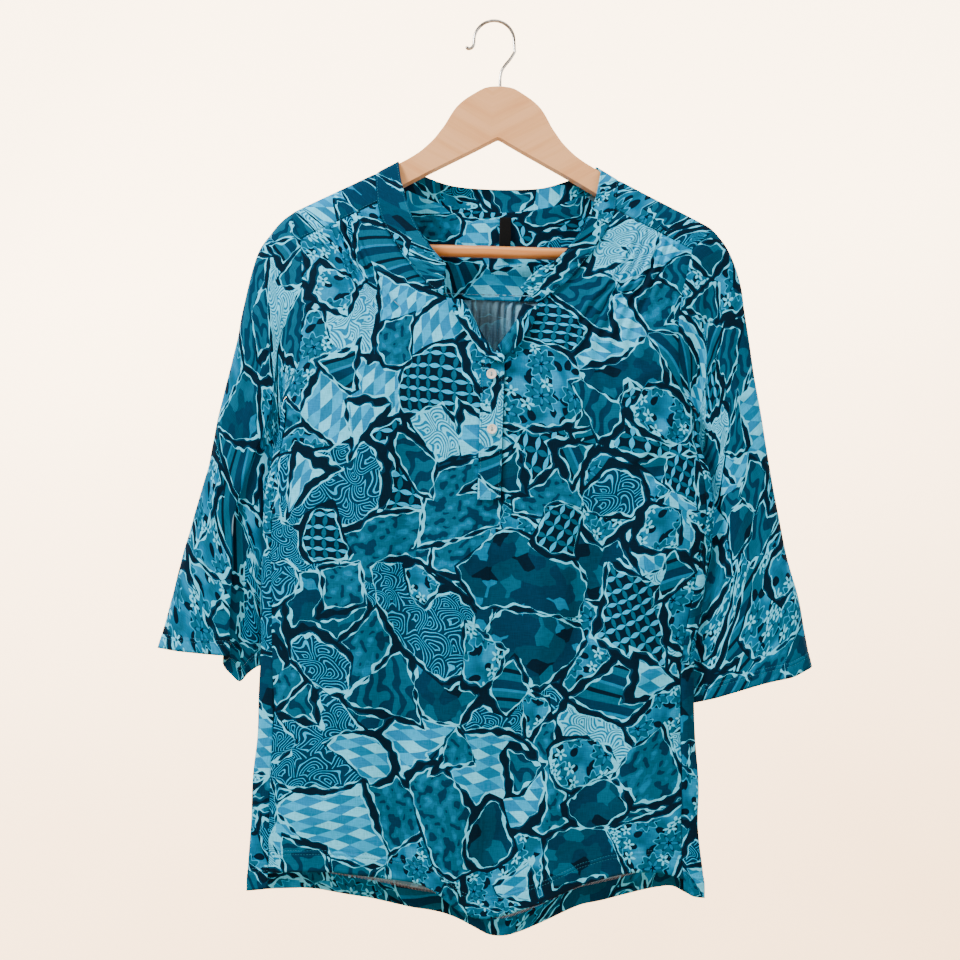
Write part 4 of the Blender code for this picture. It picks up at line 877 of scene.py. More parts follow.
@dataclass(frozen=True)
class NeckBand:
    """Narrow double band round the open neck: seam and free edge, each as across, down and depth."""

    left: Table = (
        (-49.3, 161.9, -30.5, -47.3, 133.2, -32.5), (-59.5, 155.4, -29.5, -53.6, 126.6, -31.5),
        (-76.2, 138.4, -27.0, -63.4, 114.6, -29.5), (-90.1, 121.2, -24.0, -76.3, 96.2, -26.0),
        (-100.1, 105.9, -21.5, -85.3, 77.8, -22.5), (-109.2, 91.0, -18.5, -90.5, 62.0, -18.5),
        (-116.2, 69.9, -15.0, -94.9, 45.8, -13.5), (-118.2, 54.2, -11.5, -97.4, 32.5, -9.6),
        (-119.2, 44.0, -8.8, -98.0, 29.3, -7.6), (-118.8, 39.2, -5.4, -98.2, 27.4, -4.8),
        (-118.6, 38.0, 0.0, -98.2, 26.8, 0.0), (-118.4, 39.2, 5.4, -97.8, 27.4, 4.8),
        (-116.8, 43.8, 8.8, -95.5, 30.5, 8.6), (-108.5, 45.3, 12.0, -83.9, 31.9, 12.5),
        (-90.8, 51.3, 15.0, -69.9, 36.5, 15.8), (-75.9, 56.8, 16.8, -58.8, 40.0, 17.6),
        (-60.7, 62.0, 18.2, -47.7, 42.7, 18.8), (-45.6, 65.3, 19.4, -35.5, 44.1, 19.8),
        (-30.4, 67.9, 20.2, -23.3, 44.8, 20.5), (-15.1, 69.6, 20.8, -11.6, 45.1, 20.9),
        (0.2, 70.3, 21.0, 0.2, 45.2, 21.0),
    )
    right_front: Table = (
        (42.5, 167.3, -31.0, 25.4, 154.1, -33.0), (54.2, 158.4, -30.0, 37.6, 139.4, -32.0),
        (74.8, 139.3, -27.0, 60.0, 124.9, -30.0), (89.7, 121.2, -24.0, 75.8, 106.1, -26.5),
        (99.7, 105.9, -21.5, 86.8, 87.8, -23.5), (108.9, 91.0, -18.5, 95.1, 68.0, -19.0),
        (116.0, 69.9, -15.0, 99.5, 49.9, -14.0), (118.0, 54.2, -11.5, 102.0, 35.5, -9.9),
        (119.2, 44.0, -8.8, 102.0, 31.3, -7.6),
    )
    wall: float = 1.5
    lap: float = 1.4

    def panel(self) -> Panel:
        """The band from its left front end round the back to its right one."""
        left, front = np.array(self.left), np.array(self.right_front)
        mirrored = left[len(front):] * (-1, 1, 1, -1, 1, 1)
        both = np.concatenate([left, np.concatenate([front, mirrored])[::-1][1:]])
        shares = np.linspace(0, 1, 5)
        seam, free = both[:, :3], both[:, 3:]
        seam = seam + (seam - free) * self.lap / np.linalg.norm(seam - free, axis=-1, keepdims=True)
        cage = seam[:, None] + (free - seam)[:, None] * shares[None, :, None]
        panel = Panel.through(cage, (2.0, 2.4), out=-1)
        way = panel.flat[..., 1]
        pucker = np.sin(way / 2.9) * np.sin(way / 17 + 1) + 0.6 * np.sin(way / 4.3 + 2)
        panel.raise_by(0.22 * pucker * np.exp(-((panel.from_edge(Side.LEFT) / 8) ** 2)))
        panel.roll([Side.LEFT], drop=0.5)
        return panel


@dataclass(frozen=True)
class Placket:
    """Half placket with both its ends turned back into lapels: the upper layer, and the one under it."""

    left: float = -10.5
    right: float = 12.5
    bottom: float = PLACKET_END
    top_depth: float = 2.1
    under_depth: float = 0.3
    downs: tuple[float, ...] = (228, 240, 255, 275, 300, 325, 345, 361)
    turn: Table = (
        (-10.0, 221.5, -5.2), (-5.0, 218.0, -5.6), (1.0, 215.5, -6.4), (8.0, 215.0, -8.0),
        (12.0, 218.0, -10.0), (9.0, 222.5, -11.6),
    )
    left_fold: Table = ((-31.5, 162), (-25, 171), (-18, 183), (-6.5, 202), (1.0, 213))
    left_edge: Table = ((-47.5, 160), (-37.5, 178), (-27.5, 193), (-17.0, 207), (-9.0, 217))
    right_fold: Table = ((30, 164), (27, 172), (23, 182), (18, 190), (12, 199), (6.5, 207))
    right_edge: Table = ((45.5, 167), (43.5, 174), (40.5, 183), (36, 191), (29, 201), (20, 211))
    wall: float = 1.3

    def lapel(self, fold: Table, edge: Table, count: int) -> Grid:
        """Ribbon of a turned-back lapel: under the fold, the fold, then out to the free edge."""
        folds = along(fold, np.linspace(0, 1, count))
        edges = along(edge, np.linspace(0, 1, count))
        base = FORM.front_depth(folds[:, 0], folds[:, 1])
        reach = np.array([0.22, 0.03, 0.0, 0.16, 0.55, 1.0])
        rise = np.array([2.2, 3.2, 5.2, 7.0, 6.6, 5.4])
        flat = folds[:, None] + (edges - folds)[:, None] * reach[None, :, None]
        return np.concatenate([flat, (base[:, None] - rise[None, :])[..., None]], axis=-1)

    def panels(self) -> tuple[Panel, Panel]:
        """The upper layer and the under layer."""
        downs = np.array(self.downs)
        across = np.linspace(self.left, self.right, 6)
        lift = np.interp(downs, [228, 255], [1.1, 0])
        depth = FORM.front_depth(np.full_like(downs, 1.0), downs)
        closed = FORM.on_front(across[None, :], downs[:, None])
        closed[..., 2] = (depth - self.top_depth - lift)[:, None]
        turn = np.array(self.turn)
        turn[:, 2] += FORM.front_depth(0.0, 218.0)
        cage = np.concatenate([self.lapel(self.left_fold, self.left_edge, 7), turn[None], closed])
        upper = Panel.through(HUNG.level(cage), (2.0, 2.4))
        low = np.minimum(downs[:-1], self.bottom - 1.5)
        inside = np.linspace(self.left + 2.4, self.right + 0.1, 6)
        under = FORM.on_front(inside[None, :], low[:, None])
        under[..., 2] = FORM.front_depth(np.full_like(low, 1.0), low)[:, None] - self.under_depth
        lapel = self.lapel(self.right_fold, self.right_edge, 6)[:, ::-1]
        lower = Panel.through(HUNG.level(np.concatenate([lapel, under])), (2.0, 2.4))
        for panel, seed in ((upper, 41), (lower, 43)):
            across, down = panel.points[..., 0], panel.points[..., 1]
            panel.raise_by(softness(across * 2.2, down * 2.2, seed, 0.16) * 0.8)
        return upper, lower


@dataclass(frozen=True)
class Sleeve:
    """One three-quarter sleeve, its front and back sheets joined in a tube from the armhole to an open hem.

    outer and inner edges run from the top to the hem: down, left across, right across, depth. hem rows are
    the share of the way from the outer to the inner edge, across, down and depth.
    """

    side: int
    hem: Table
    hem_inner_down: float
    outer: Table = (
        (81, 204, 216, 0), (88, 211.5, 220.5, 0.5), (103, 226.5, 231, 1), (118, 235, 238.5, 2),
        (139, 242, 246, 2), (172, 248, 252, 2), (234, 260, 264, 2), (290, 272, 275, 2), (364, 286, 290, 2),
        (413, 300, 302, 2), (457, 311, 314, 2), (518, 326, 328, 2),
    )
    inner: Table = (
        (267, 205, 203, -7), (273, 210.5, 209.5, -4), (281, 212.5, 212, 2.5), (296, 213, 213, 8),
        (325, 213, 213, 10.5), (390, 211, 208, 12), (451, 213, 206, 12.5), (516, 215, 204, 12.5),
        (532, 216, 204, 12.5),
    )
    front_downs: tuple[float, ...] = (110, 121, 135, 150, 163, 175, 186, 199, 216, 240, 267)
    back_downs: tuple[float, ...] = (172, 186, 204, 224, 242, 256, 267)
    back_hem_depth: float = 24.0
    fold_column: int = 9
    fold_across: float = -249.5
    hem_width: float = 13.0
    wall: float = 0.5
    strength: float = 1.4
    creases: Table = ()

    def edges(self, yoke: Yoke) -> tuple[Grid, Grid]:
        """The armhole's front and back lines, from the shoulder to the underarm."""
        top = yoke.outer_edge(self.side)
        downs = np.array(self.front_downs, float)
        front = HUNG.level(FORM.on_front(FORM.side_seam(downs, self.side), downs))
        downs = np.array(self.back_downs, float)
        holes = np.array(FORM.armhole_back)
        across = self.side * smooth_at(downs, holes[:, 0], holes[:, 1 if self.side < 0 else 2])
        back = HUNG.level(np.stack([across, downs, FORM.back_depth(across, downs)], axis=-1))
        front = np.concatenate([top[4::-1], front])
        back = np.concatenate([top[4:10], back])
        front[-1] = back[-1] = front[-1] + (self.side * 0.6, -2.5, 2.4)
        front[-3:-1] += (-self.side * 1.2, 0, 0.9)
        return front, back

    def behind_body(self, sheet: Grid) -> Grid:
        """Keeps a sheet behind the side of the body, which hangs in front of it below the underarm."""
        across, down = sheet[..., 0], sheet[..., 1]
        half = FORM.half_width(across, down) * (1 - 8 / HUNG.view_distance)
        held = np.sign(across) * np.minimum(np.abs(across), half - 1.0)
        least = FORM.back_depth(held, down) + 2.6 - np.maximum(0, np.abs(across) - half - 4) * 0.9
        push = np.clip((down - UNDERARM) / 14, 0, 1)
        sheet = sheet.copy()
        sheet[..., 2] += (np.maximum(sheet[..., 2], least) - sheet[..., 2]) * push
        return sheet

    def fold(self, sheet: Grid, rows: Grid) -> Grid:
        """Slides one column onto the upright crease, more towards the hem."""
        last = sheet.shape[1] - 1
        at = self.fold_column
        weight = np.interp(np.arange(last + 1), [0, 3, at, at + 1, last - 1, last], [0, 0.05, 1, 1, 0.25, 0])
        target = self.fold_across - 1.5 * rows
        shift = (target - sheet[:, at, 0]) * ramp(rows, 0.3, 0.65)
        sheet = sheet.copy()
        sheet[..., 0] += shift[:, None] * weight[None, :]
        return sheet

    def panel(self, yoke: Yoke) -> Panel:
        """The tube, its columns running from the outer edge over the front to the inner edge and back."""
        column = 1 if self.side < 0 else 2
        outer, inner = np.array(self.outer, float), np.array(self.inner, float)
        outer = np.stack([self.side * outer[:, column], outer[:, 0], outer[:, 3]], axis=-1)
        inner = np.stack([self.side * inner[:, column], inner[:, 0], inner[:, 3]], axis=-1)
        hem = np.array(self.hem)
        inner[-2:, 1] = (self.hem_inner_down - 30, self.hem_inner_down)
        inner[-1] = hem[-1, 1:]
        low = HUNG.level(hem[:, 1:])
        rows = np.concatenate([np.linspace(0, 0.3, 7)[:-1], np.linspace(0.3, 1, 10)])
        front, back = self.edges(yoke)
        outer = along(np.concatenate([front[:1], HUNG.level(outer)[1:]]), rows)
        inner = along(np.concatenate([front[-1:], HUNG.level(inner)[1:]]), rows)
        folded = self.side < 0
        shares = shares_of(front)
        if folded:
            keys = [0, 1, 3, 4, self.fold_column, self.fold_column + 1, len(front) - 1]
            shares = np.interp(np.arange(len(front)), keys, [0, 0.025, 0.1, 0.17, 0.66, 0.72, 1])
        over = self.span(front, line_at(shares, hem[:, 0], low), shares, outer, inner, rows)
        if folded:
            over = self.fold(over, rows)
        over = self.behind_body(over)
        shares = np.linspace(0, 1, len(back))
        shares = (1 - np.cos(shares * np.pi)) / 2 * 0.6 + shares * 0.4
        end = low[0] + (low[-1] - low[0]) * shares[:, None]
        bulge = (1 - np.abs(2 * shares - 1) ** 2.6) ** (1 / 2.2)
        end[:, 2] += (self.back_hem_depth - end[:, 2]) * bulge
        under = self.span(back, end, shares, outer, inner, rows)
        behind = self.behind_body(under)
        under[:, 1:-1, 2] = np.maximum(under[:, 1:-1, 2], behind[:, 1:-1, 2])
        cage = np.concatenate([over, under[:, ::-1][:, 1:-1]], axis=1)
        gap = np.linalg.norm(cage[-1] - cage[-2], axis=-1).mean()
        hem_rows = len(cage) - 1 - np.arange(8.5, 18.5, HEM_ROW) / gap
        panel = Panel.through(cage, (2.8, 3.4), 1, hem_rows, out=1 if folded else -1, ring=True)
        panel.measure(panel.points.shape[1] // 4, panel.points.shape[0] // 3)
        height = worn(panel, self.creases, self.strength, 51 + self.side, 0.8, (4, 30))
        height = height + hem_relief(panel.from_edge(Side.BOTTOM), panel.flat[..., 0], self.hem_width, 7)
        panel.raise_by(height)
        panel.roll([Side.TOP])
        return panel

    @staticmethod
    def span(top: Grid, low: Grid, shares: Grid, outer: Grid, inner: Grid, rows: Grid) -> Grid:
        """Sheet between an armhole line, a hem line and the two edges."""
        t = rows[:, None, None]
        x = (1 - t) * shares_of(top)[None, :, None] + t * shares[None, :, None]
        sheet = (1 - t) * top[None] + t * low[None]
        first, last = (1 - t) * top[0] + t * low[0], (1 - t) * top[-1] + t * low[-1]
        return sheet + (1 - x) * outer[:, None] + x * inner[:, None] - (1 - x) * first - x * last


LEFT_SLEEVE = Sleeve(
    side=-1,
    hem=(
        (0.0, -326, 518, 2), (0.02, -325.5, 518.2, -3), (0.08, -320, 519, -9), (0.25, -305, 521, -13),
        (0.5, -277, 523, -15), (0.66, -251, 525, -14.5), (0.72, -256.5, 533, -4.0), (0.82, -242, 551, -2.0),
        (0.93, -229, 536, 2.5), (0.98, -218, 531, 7.5), (1.0, -216, 530, 12.5),
    ),
    hem_inner_down=530.0,
    creases=(
        (-206, 150, -232, 232, 6, 5.0, 1.3), (-214, 200, -246, 290, -6, 6.0, -1.1),
        (-224, 130, -240, 300, 8, 7.0, 0.9), (-262, 260, -292, 480, 8, 8.0, 1.2),
        (-236, 330, -262, 400, -5, 6.0, 0.9), (-270, 420, -306, 505, 4, 7.0, -1.0),
        (-220, 262, -250, 262, 4, 5.0, 0.9), (-256, 440, -300, 424, -5, 8.0, 0.9),
        (-250, 492, -318, 470, 5, 8.0, 0.8),
    ),
)
RIGHT_SLEEVE = Sleeve(
    side=1,
    hem=(
        (0.0, 328, 518, 2), (0.02, 327.8, 519, -3), (0.08, 324, 521.5, -9), (0.25, 310, 529.5, -14),
        (0.5, 280, 537.5, -15), (0.75, 248, 548.0, -11), (0.9, 222, 556, -4.0), (0.97, 208, 558.5, 3.5),
        (1.0, 204, 559, 12.5),
    ),
    hem_inner_down=559.0,
    creases=(
        (200, 140, 226, 236, -6, 5.0, 1.4), (206, 176, 240, 276, 6, 6.0, -1.2),
        (216, 240, 262, 250, -5, 5.0, 1.2), (212, 262, 258, 286, 5, 5.0, -1.0),
        (236, 150, 250, 300, -8, 7.0, 0.9), (230, 310, 262, 500, 10, 8.0, 1.3),
        (262, 330, 292, 520, -8, 8.0, -1.1), (290, 400, 306, 516, 5, 6.0, 1.0),
        (232, 420, 288, 404, -6, 8.0, 1.0), (222, 500, 292, 476, -6, 8.0, 0.9),
        (226, 528, 262, 500, 4, 5.0, 0.9),
    ),
)


def linear(hex_colour: str) -> tuple[float, float, float, float]:
    """Turns a colour as seen on a screen into the linear one that a shader takes."""
    parts = [int(hex_colour[i:i + 2], 16) / 255 for i in (1, 3, 5)]
    return (*[c / 12.92 if c <= 0.04045 else ((c + 0.055) / 1.055) ** 2.4 for c in parts], 1.0)


Socket = bpy.types.NodeSocket
Value = Socket | float | tuple[float, ...] | None


def put(node: bpy.types.Node, values: dict[str | int, Value]) -> None:
    """Sets inputs of a node, by name or number, to an output or an even value; None leaves one as it is."""
    for place, value in values.items():
        if isinstance(value, Socket):
            node.id_data.links.new(value, node.inputs[place])
        elif value is not None:
            node.inputs[place].default_value = value


def add(
    tree: Tree, kind: str, *values: Value, named: dict[str | int, Value] | None = None,
    out: int = 0, stops: Sequence[tuple[float, tuple[float, ...]]] = (), **settings: object,
) -> Socket:
    """Adds a shader node.

    Args:
        tree: The material's nodes.
        kind: The node's type without its first word.
        values: Sockets or values for the inputs, in order; None leaves one as it is.
        named: Sockets or values for inputs by name or number.
        out: Which output is given back.
        stops: Places and colours of a colour ramp.
        settings: The node's own settings.

    Returns:
        The chosen output.
    """
    node = tree.nodes.new("ShaderNode" + kind)
    for key, value in settings.items():
        setattr(node, key, value)
    put(node, {**dict(enumerate(values)), **(named or {})})
    for _ in stops[2:]:
        node.color_ramp.elements.new(0.5)
    for element, (place, colour) in zip(node.color_ramp.elements if stops else (), stops):
        element.position, element.color = place, colour
    return node.outputs[out]


def calc(tree: Tree, operation: str, *values: Value) -> Socket:
    """Adds a sum of numbers."""
    return add(tree, "Math", *values, operation=operation)


def vector(tree: Tree, operation: str, *values: Value, out: int = 0) -> Socket:
    """Adds a sum of vectors."""
    return add(tree, "VectorMath", *values, operation=operation, out=out)


def noise(tree: Tree, place: Socket, scale: float, detail: float, out: int = 0) -> Socket:
    """Adds noise that lies in the plane of the cloth."""
    facts = {"Scale": scale, "Detail": detail}
    return add(tree, "TexNoise", place, named=facts, noise_dimensions="2D", out=out)


@dataclass(frozen=True)
class Finish:
    """What every finish has: a name, how rough it is and how much light its surface gives back."""

    name: str
    roughness: float
    specular: float = 0.5

    def start(self) -> tuple[Material, Tree, bpy.types.Node]:
        """Makes the material with its shader, whose even values are set on its own sockets."""
        material = bpy.data.materials.new(self.name)
        material.use_nodes = True
        tree = material.node_tree
        shader = tree.nodes["Principled BSDF"]
        put(shader, {"Roughness": self.roughness, "Specular IOR Level": self.specular})
        return material, tree, shader


@dataclass(frozen=True)
class PrintedViscose(Finish):
    """Light viscose in plain weave, rotary printed with a patchwork of small patterns in teals.

    Lengths are in the cloth map's unit, which is 100 mm. ghost is how much of the print shows: 1 on the right
    side, less where it only strikes through to the wrong side. ground is how many background patches there
    are to the unit. large and small are the patches laid over them: places to the unit, reach and the
    share left out.
    """

    ghost: float = 1.0
    navy: str = "#01182A"
    deep: str = "#01304C"
    teal: str = "#015573"
    cyan: str = "#01709E"
    aqua: str = "#10A4DA"
    white: str = "#5AD2FA"
    bare: str = "#7FA6BA"
    ground: float = 1.3
    large: tuple[float, float, float] = (1.02, 0.49, 0.2)
    small: tuple[float, float, float] = (1.75, 0.27, 0.58)

    def pair(self, tree: Tree, mask: Socket, under: Socket | str, over: Socket | str) -> Socket:
        """Two printed colours laid by a mask, each a colour's name or a pattern that is already there."""
        colours = [linear(colour) if isinstance(colour, str) else colour for colour in (under, over)]
        return add(tree, "Mix", mask, named={6: colours[0], 7: colours[1]}, out=2, data_type="RGBA")

    def tones(self, tree: Tree, value: Socket, stops: Sequence[tuple[float, str]]) -> Socket:
        """Flat tones, each from its place in a run of values."""
        ramp = add(tree, "ValToRGB", value, stops=[(place, linear(colour)) for place, colour in stops])
        ramp.node.color_ramp.interpolation = "CONSTANT"
        return ramp

    def harlequin(self, tree: Tree, x: Socket, y: Socket) -> Socket:
        """Long diamonds in four tones, where two sets of bands cross."""
        lean = calc(tree, "MULTIPLY", x, 1.7)
        crossing = []
        for slope, share in ((4.4, 0.5), (-4.4, 0.25)):
            band = calc(tree, "MULTIPLY_ADD", y, slope, lean)
            half = calc(tree, "GREATER_THAN", calc(tree, "FRACT", band), 0.5)
            crossing.append(calc(tree, "MULTIPLY", half, share))
        number = calc(tree, "ADD", *crossing)
        stops = [(0.0, self.white), (0.2, "#067CB2"), (0.45, self.cyan), (0.7, self.aqua)]
        return self.tones(tree, number, stops)

    def stripes(self, tree: Tree, x: Socket, soft: Socket) -> tuple[Socket, Socket]:
        """Wandering dark stripes that swell and taper, and straight bars in three tones."""
        drift = calc(tree, "MULTIPLY_ADD", soft, 2.3, calc(tree, "MULTIPLY", x, 6.8))
        wave = calc(tree, "SINE", calc(tree, "MULTIPLY", drift, 2 * math.pi))
        wandering = self.pair(tree, calc(tree, "GREATER_THAN", wave, 0.15), self.teal, self.deep)
        bar = calc(tree, "FRACT", calc(tree, "MULTIPLY", x, 3.4))
        return wandering, self.tones(tree, bar, [
            (0.0, self.deep), (0.3, self.teal), (0.55, self.navy), (0.68, self.teal), (0.9, self.cyan),
        ])

    def fans(self, tree: Tree, x: Socket, y: Socket) -> tuple[Socket, Socket]:
        """Rows of overlapping fans drawn in fine arcs, pale on bright and bright on dark."""
        row = calc(tree, "MULTIPLY", y, 7.2)
        odd = calc(tree, "MULTIPLY", calc(tree, "FLOOR", row), 0.5)
        place = calc(tree, "FRACT", calc(tree, "MULTIPLY_ADD", x, 3.6, odd))
        side = calc(tree, "SUBTRACT", place, 0.5)
        up = calc(tree, "MULTIPLY", calc(tree, "FRACT", row), 0.5)
        reach = vector(tree, "LENGTH", add(tree, "CombineXYZ", side, up), out=1)
        ring = calc(tree, "FRACT", calc(tree, "MULTIPLY", reach, 9.0))
        pale = self.pair(tree, calc(tree, "GREATER_THAN", ring, 0.5), self.cyan, self.white)
        dark = self.pair(tree, calc(tree, "GREATER_THAN", ring, 0.74), self.deep, self.aqua)
        return pale, dark

    def lattice(self, tree: Tree, x: Socket, y: Socket) -> Socket:
        """Slim petals along the lines of a square lattice."""
        colour: Socket | str = self.navy
        for here, other, tone in ((x, y, self.aqua), (y, x, self.teal)):
            line = calc(tree, "FRACT", calc(tree, "MULTIPLY_ADD", here, 8.2, 0.5))
            off = calc(tree, "ABSOLUTE", calc(tree, "SUBTRACT", line, 0.5))
            swell = calc(tree, "SINE", calc(tree, "MULTIPLY", other, 8.2 * math.pi))
            wide = calc(tree, "MULTIPLY", calc(tree, "ABSOLUTE", swell), 0.19)
            colour = self.pair(tree, calc(tree, "LESS_THAN", off, wide), colour, tone)
        return colour

    def stones(self, tree: Tree, local: Socket) -> Socket:
        """Sharp facets in neighbouring tones."""
        facet = add(
            tree, "TexVoronoi", local, named={"Scale": 6.6}, voronoi_dimensions="2D", distance="MANHATTAN",
        )
        shade = add(tree, "SeparateColor", facet.node.outputs["Color"])
        return self.tones(
            tree, shade,
            [(0.0, self.navy), (0.12, self.deep), (0.42, "#013C56"), (0.66, self.teal), (0.9, self.cyan)],
        )

    def garden(self, tree: Tree, local: Socket, soft: Socket) -> Socket:
        """Plain round flowers, florets and leaves strewn on a mottled ground."""
        tones = [(0.36, linear(self.teal)), (0.5, linear("#01648F")), (0.68, linear("#0A86B8"))]
        result = add(tree, "ValToRGB", soft, stops=tones)
        beds = {}
        for scale in (5.6, 3.0, 6.5):
            facts = {"Scale": scale, "Randomness": 0.8}
            near = add(tree, "TexVoronoi", local, named=facts, voronoi_dimensions="2D")
            arm = vector(tree, "SUBTRACT", local, near.node.outputs["Position"])
            parts = add(tree, "SeparateXYZ", arm)
            angle = calc(tree, "ARCTAN2", parts.node.outputs[1], parts)
            beds[scale] = (near, angle, add(tree, "SeparateColor", near.node.outputs["Color"]))
        for scale, lobes, size, inner, least, colour in (
            (5.6, 2.0, 0.62, 0.25, 0.1, self.navy), (3.0, 9.0, 0.47, 0.84, 0.3, self.aqua),
            (3.0, 9.0, 0.43, 0.84, 0.3, self.teal), (3.0, 6.0, 0.3, 0.6, 0.3, self.deep),
            (3.0, 6.0, 0.24, 0.6, 0.3, self.cyan), (3.0, 5.0, 0.09, 0.7, 0.3, self.navy),
            (6.5, 5.0, 0.4, 0.62, 0.66, self.white), (6.5, 1.0, 0.1, 0.9, 0.66, self.teal),
        ):
            near, angle, dice = beds[scale]
            around = calc(tree, "MULTIPLY", angle, lobes)
            turned = calc(tree, "MULTIPLY_ADD", dice, 2 * math.pi, around)
            lobe = calc(tree, "MULTIPLY_ADD", calc(tree, "COSINE", turned), 1 - inner, inner)
            edge = calc(tree, "MULTIPLY", lobe, size)
            grown = calc(tree, "GREATER_THAN", dice.node.outputs[2], least)
            mask = calc(tree, "LESS_THAN", near, calc(tree, "MULTIPLY", edge, grown))
            result = self.pair(tree, mask, result, colour)
        return result

    def turned(self, tree: Tree, local: Socket, parts: Socket) -> Socket:
        """Place in a patch, turned as its dice say."""
        angle = calc(tree, "MULTIPLY", parts.node.outputs[1], 6.28)
        return add(tree, "VectorRotate", local, named={"Angle": angle}, rotation_type="Z_AXIS")

    def fills(self, tree: Tree, local: Socket, dice: Socket) -> Socket:
        """The small pattern of each patch, picked by the dice."""
        shake = noise(tree, local, 5.0, 0.0, out=1)
        shake = vector(tree, "SUBTRACT", shake, (0.5, 0.5, 0.5))
        drawn = vector(tree, "MULTIPLY_ADD", shake, (0.16, 0.16, 0.0), local)
        uneven = add(tree, "SeparateXYZ", drawn)
        x = add(tree, "SeparateXYZ", local)
        y = x.node.outputs[1]
        soft = noise(tree, local, 4.2, 1.0)
        wandering, bars = self.stripes(tree, x, soft)
        pale, dark = self.fans(tree, uneven, uneven.node.outputs[1])
        mottled = self.tones(
            tree, noise(tree, local, 9.0, 1.0),
            [(0.0, self.deep), (0.42, self.teal), (0.56, "#016086"), (0.66, self.cyan)],
        )
        colour = wandering
        for start, fill in (
            (0.17, self.harlequin(tree, x, y)), (0.27, self.garden(tree, local, soft)), (0.46, pale),
            (0.54, dark), (0.61, self.stones(tree, local)), (0.74, self.lattice(tree, x, y)), (0.82, bars),
            (0.91, mottled),
        ):
            colour = self.pair(tree, calc(tree, "GREATER_THAN", dice, start), colour, fill)
        return colour

    def cells(self, tree: Tree, cloth: Socket, scale: float) -> tuple[Socket, Socket, Socket]:
        """Cells that fill the cloth: distance from the edge in millimetres, dice, and place in the cell."""
        facts = {"Scale": scale, "Randomness": 0.9}
        plane = {"voronoi_dimensions": "2D"}
        cell = add(tree, "TexVoronoi", cloth, named=facts, **plane)
        edge = add(tree, "TexVoronoi", cloth, named=facts, feature="DISTANCE_TO_EDGE", **plane)
        local = vector(tree, "SUBTRACT", cloth, cell.node.outputs["Position"])
        return calc(tree, "MULTIPLY", edge, 100 / scale), cell.node.outputs["Color"], local

    def scatter(
        self, tree: Tree, cloth: Socket, under: tuple[Socket, Socket, Socket], scale: float,
        size: float, least: float,
    ) -> tuple[Socket, Socket, Socket]:
        """Lays patches with three, four or many sides over what is there.

        Args:
            tree: The material's nodes.
            cloth: Place on the cloth.
            under: Edge distance, dice and place of what lies below.
            scale: How many places there are to the unit.
            size: Reach of a patch's corners, in the cloth's unit.
            least: Share of the places that stay empty.

        Returns:
            Edge distance, dice and place with the new patches on top.
        """
        edge, dice, local = self.cells(tree, cloth, scale)
        parts = add(tree, "SeparateColor", dice)
        turned = self.turned(tree, local, parts)
        long = vector(tree, "MULTIPLY", turned, (0.74, 1.0, 1.0))
        spots = add(tree, "SeparateXYZ", long)
        around = calc(tree, "ARCTAN2", spots.node.outputs[1], spots)
        choice = calc(tree, "FRACT", calc(tree, "MULTIPLY", parts.node.outputs[1], 7.0))
        sides = add(tree, "MapRange", choice, 0.0, 1.0, 3.0, 5.99)
        sides = calc(tree, "FLOOR", sides)
        many = calc(tree, "GREATER_THAN", sides, 4.5)
        sides = calc(tree, "MULTIPLY_ADD", many, 19.0, sides)
        slices = calc(tree, "DIVIDE", 2 * math.pi, sides)
        part = calc(tree, "SUBTRACT", calc(tree, "FRACT", calc(tree, "DIVIDE", around, slices)), 0.5)
        lean = calc(tree, "COSINE", calc(tree, "MULTIPLY", part, slices))
        reach = calc(tree, "MULTIPLY", vector(tree, "LENGTH", long, out=1), lean)
        flat = calc(tree, "COSINE", calc(tree, "MULTIPLY", slices, 0.5))
        room = calc(tree, "MULTIPLY", flat, size)
        inside = calc(tree, "MULTIPLY", calc(tree, "SUBTRACT", room, reach), 100.0)
        inside = calc(tree, "MINIMUM", inside, edge)
        missing = calc(tree, "LESS_THAN", parts.node.outputs[2], least)
        inside = calc(tree, "MULTIPLY_ADD", missing, -200.0, inside)
        on = calc(tree, "GREATER_THAN", inside, 0.0)
        outside = calc(tree, "MINIMUM", under[0], calc(tree, "MULTIPLY", inside, -1.0))
        away = add(tree, "Mix", on, named={2: outside, 3: inside}, data_type="FLOAT")
        dice = add(tree, "Mix", on, named={6: under[1], 7: dice}, out=2, data_type="RGBA")
        local = add(tree, "Mix", on, named={4: under[2], 5: local}, out=1, data_type="VECTOR")
        return away, dice, local

    def printed(self, tree: Tree, cloth: Socket) -> Socket:
        """The whole print: patches, their fills, dark scalloped channels and beaded pale outlines."""
        bend = noise(tree, cloth, 0.9, 1.0, out=1)
        bend = vector(tree, "SUBTRACT", bend, (0.5, 0.5, 0.5))
        bent = vector(tree, "MULTIPLY_ADD", bend, (0.3, 0.3, 0.0), cloth)
        layers = self.scatter(tree, bent, self.cells(tree, bent, self.ground), *self.large)
        away, dice, local = self.scatter(tree, bent, layers, *self.small)
        parts = add(tree, "SeparateColor", dice)
        turned = self.turned(tree, local, parts)
        colour = self.fills(tree, turned, parts)

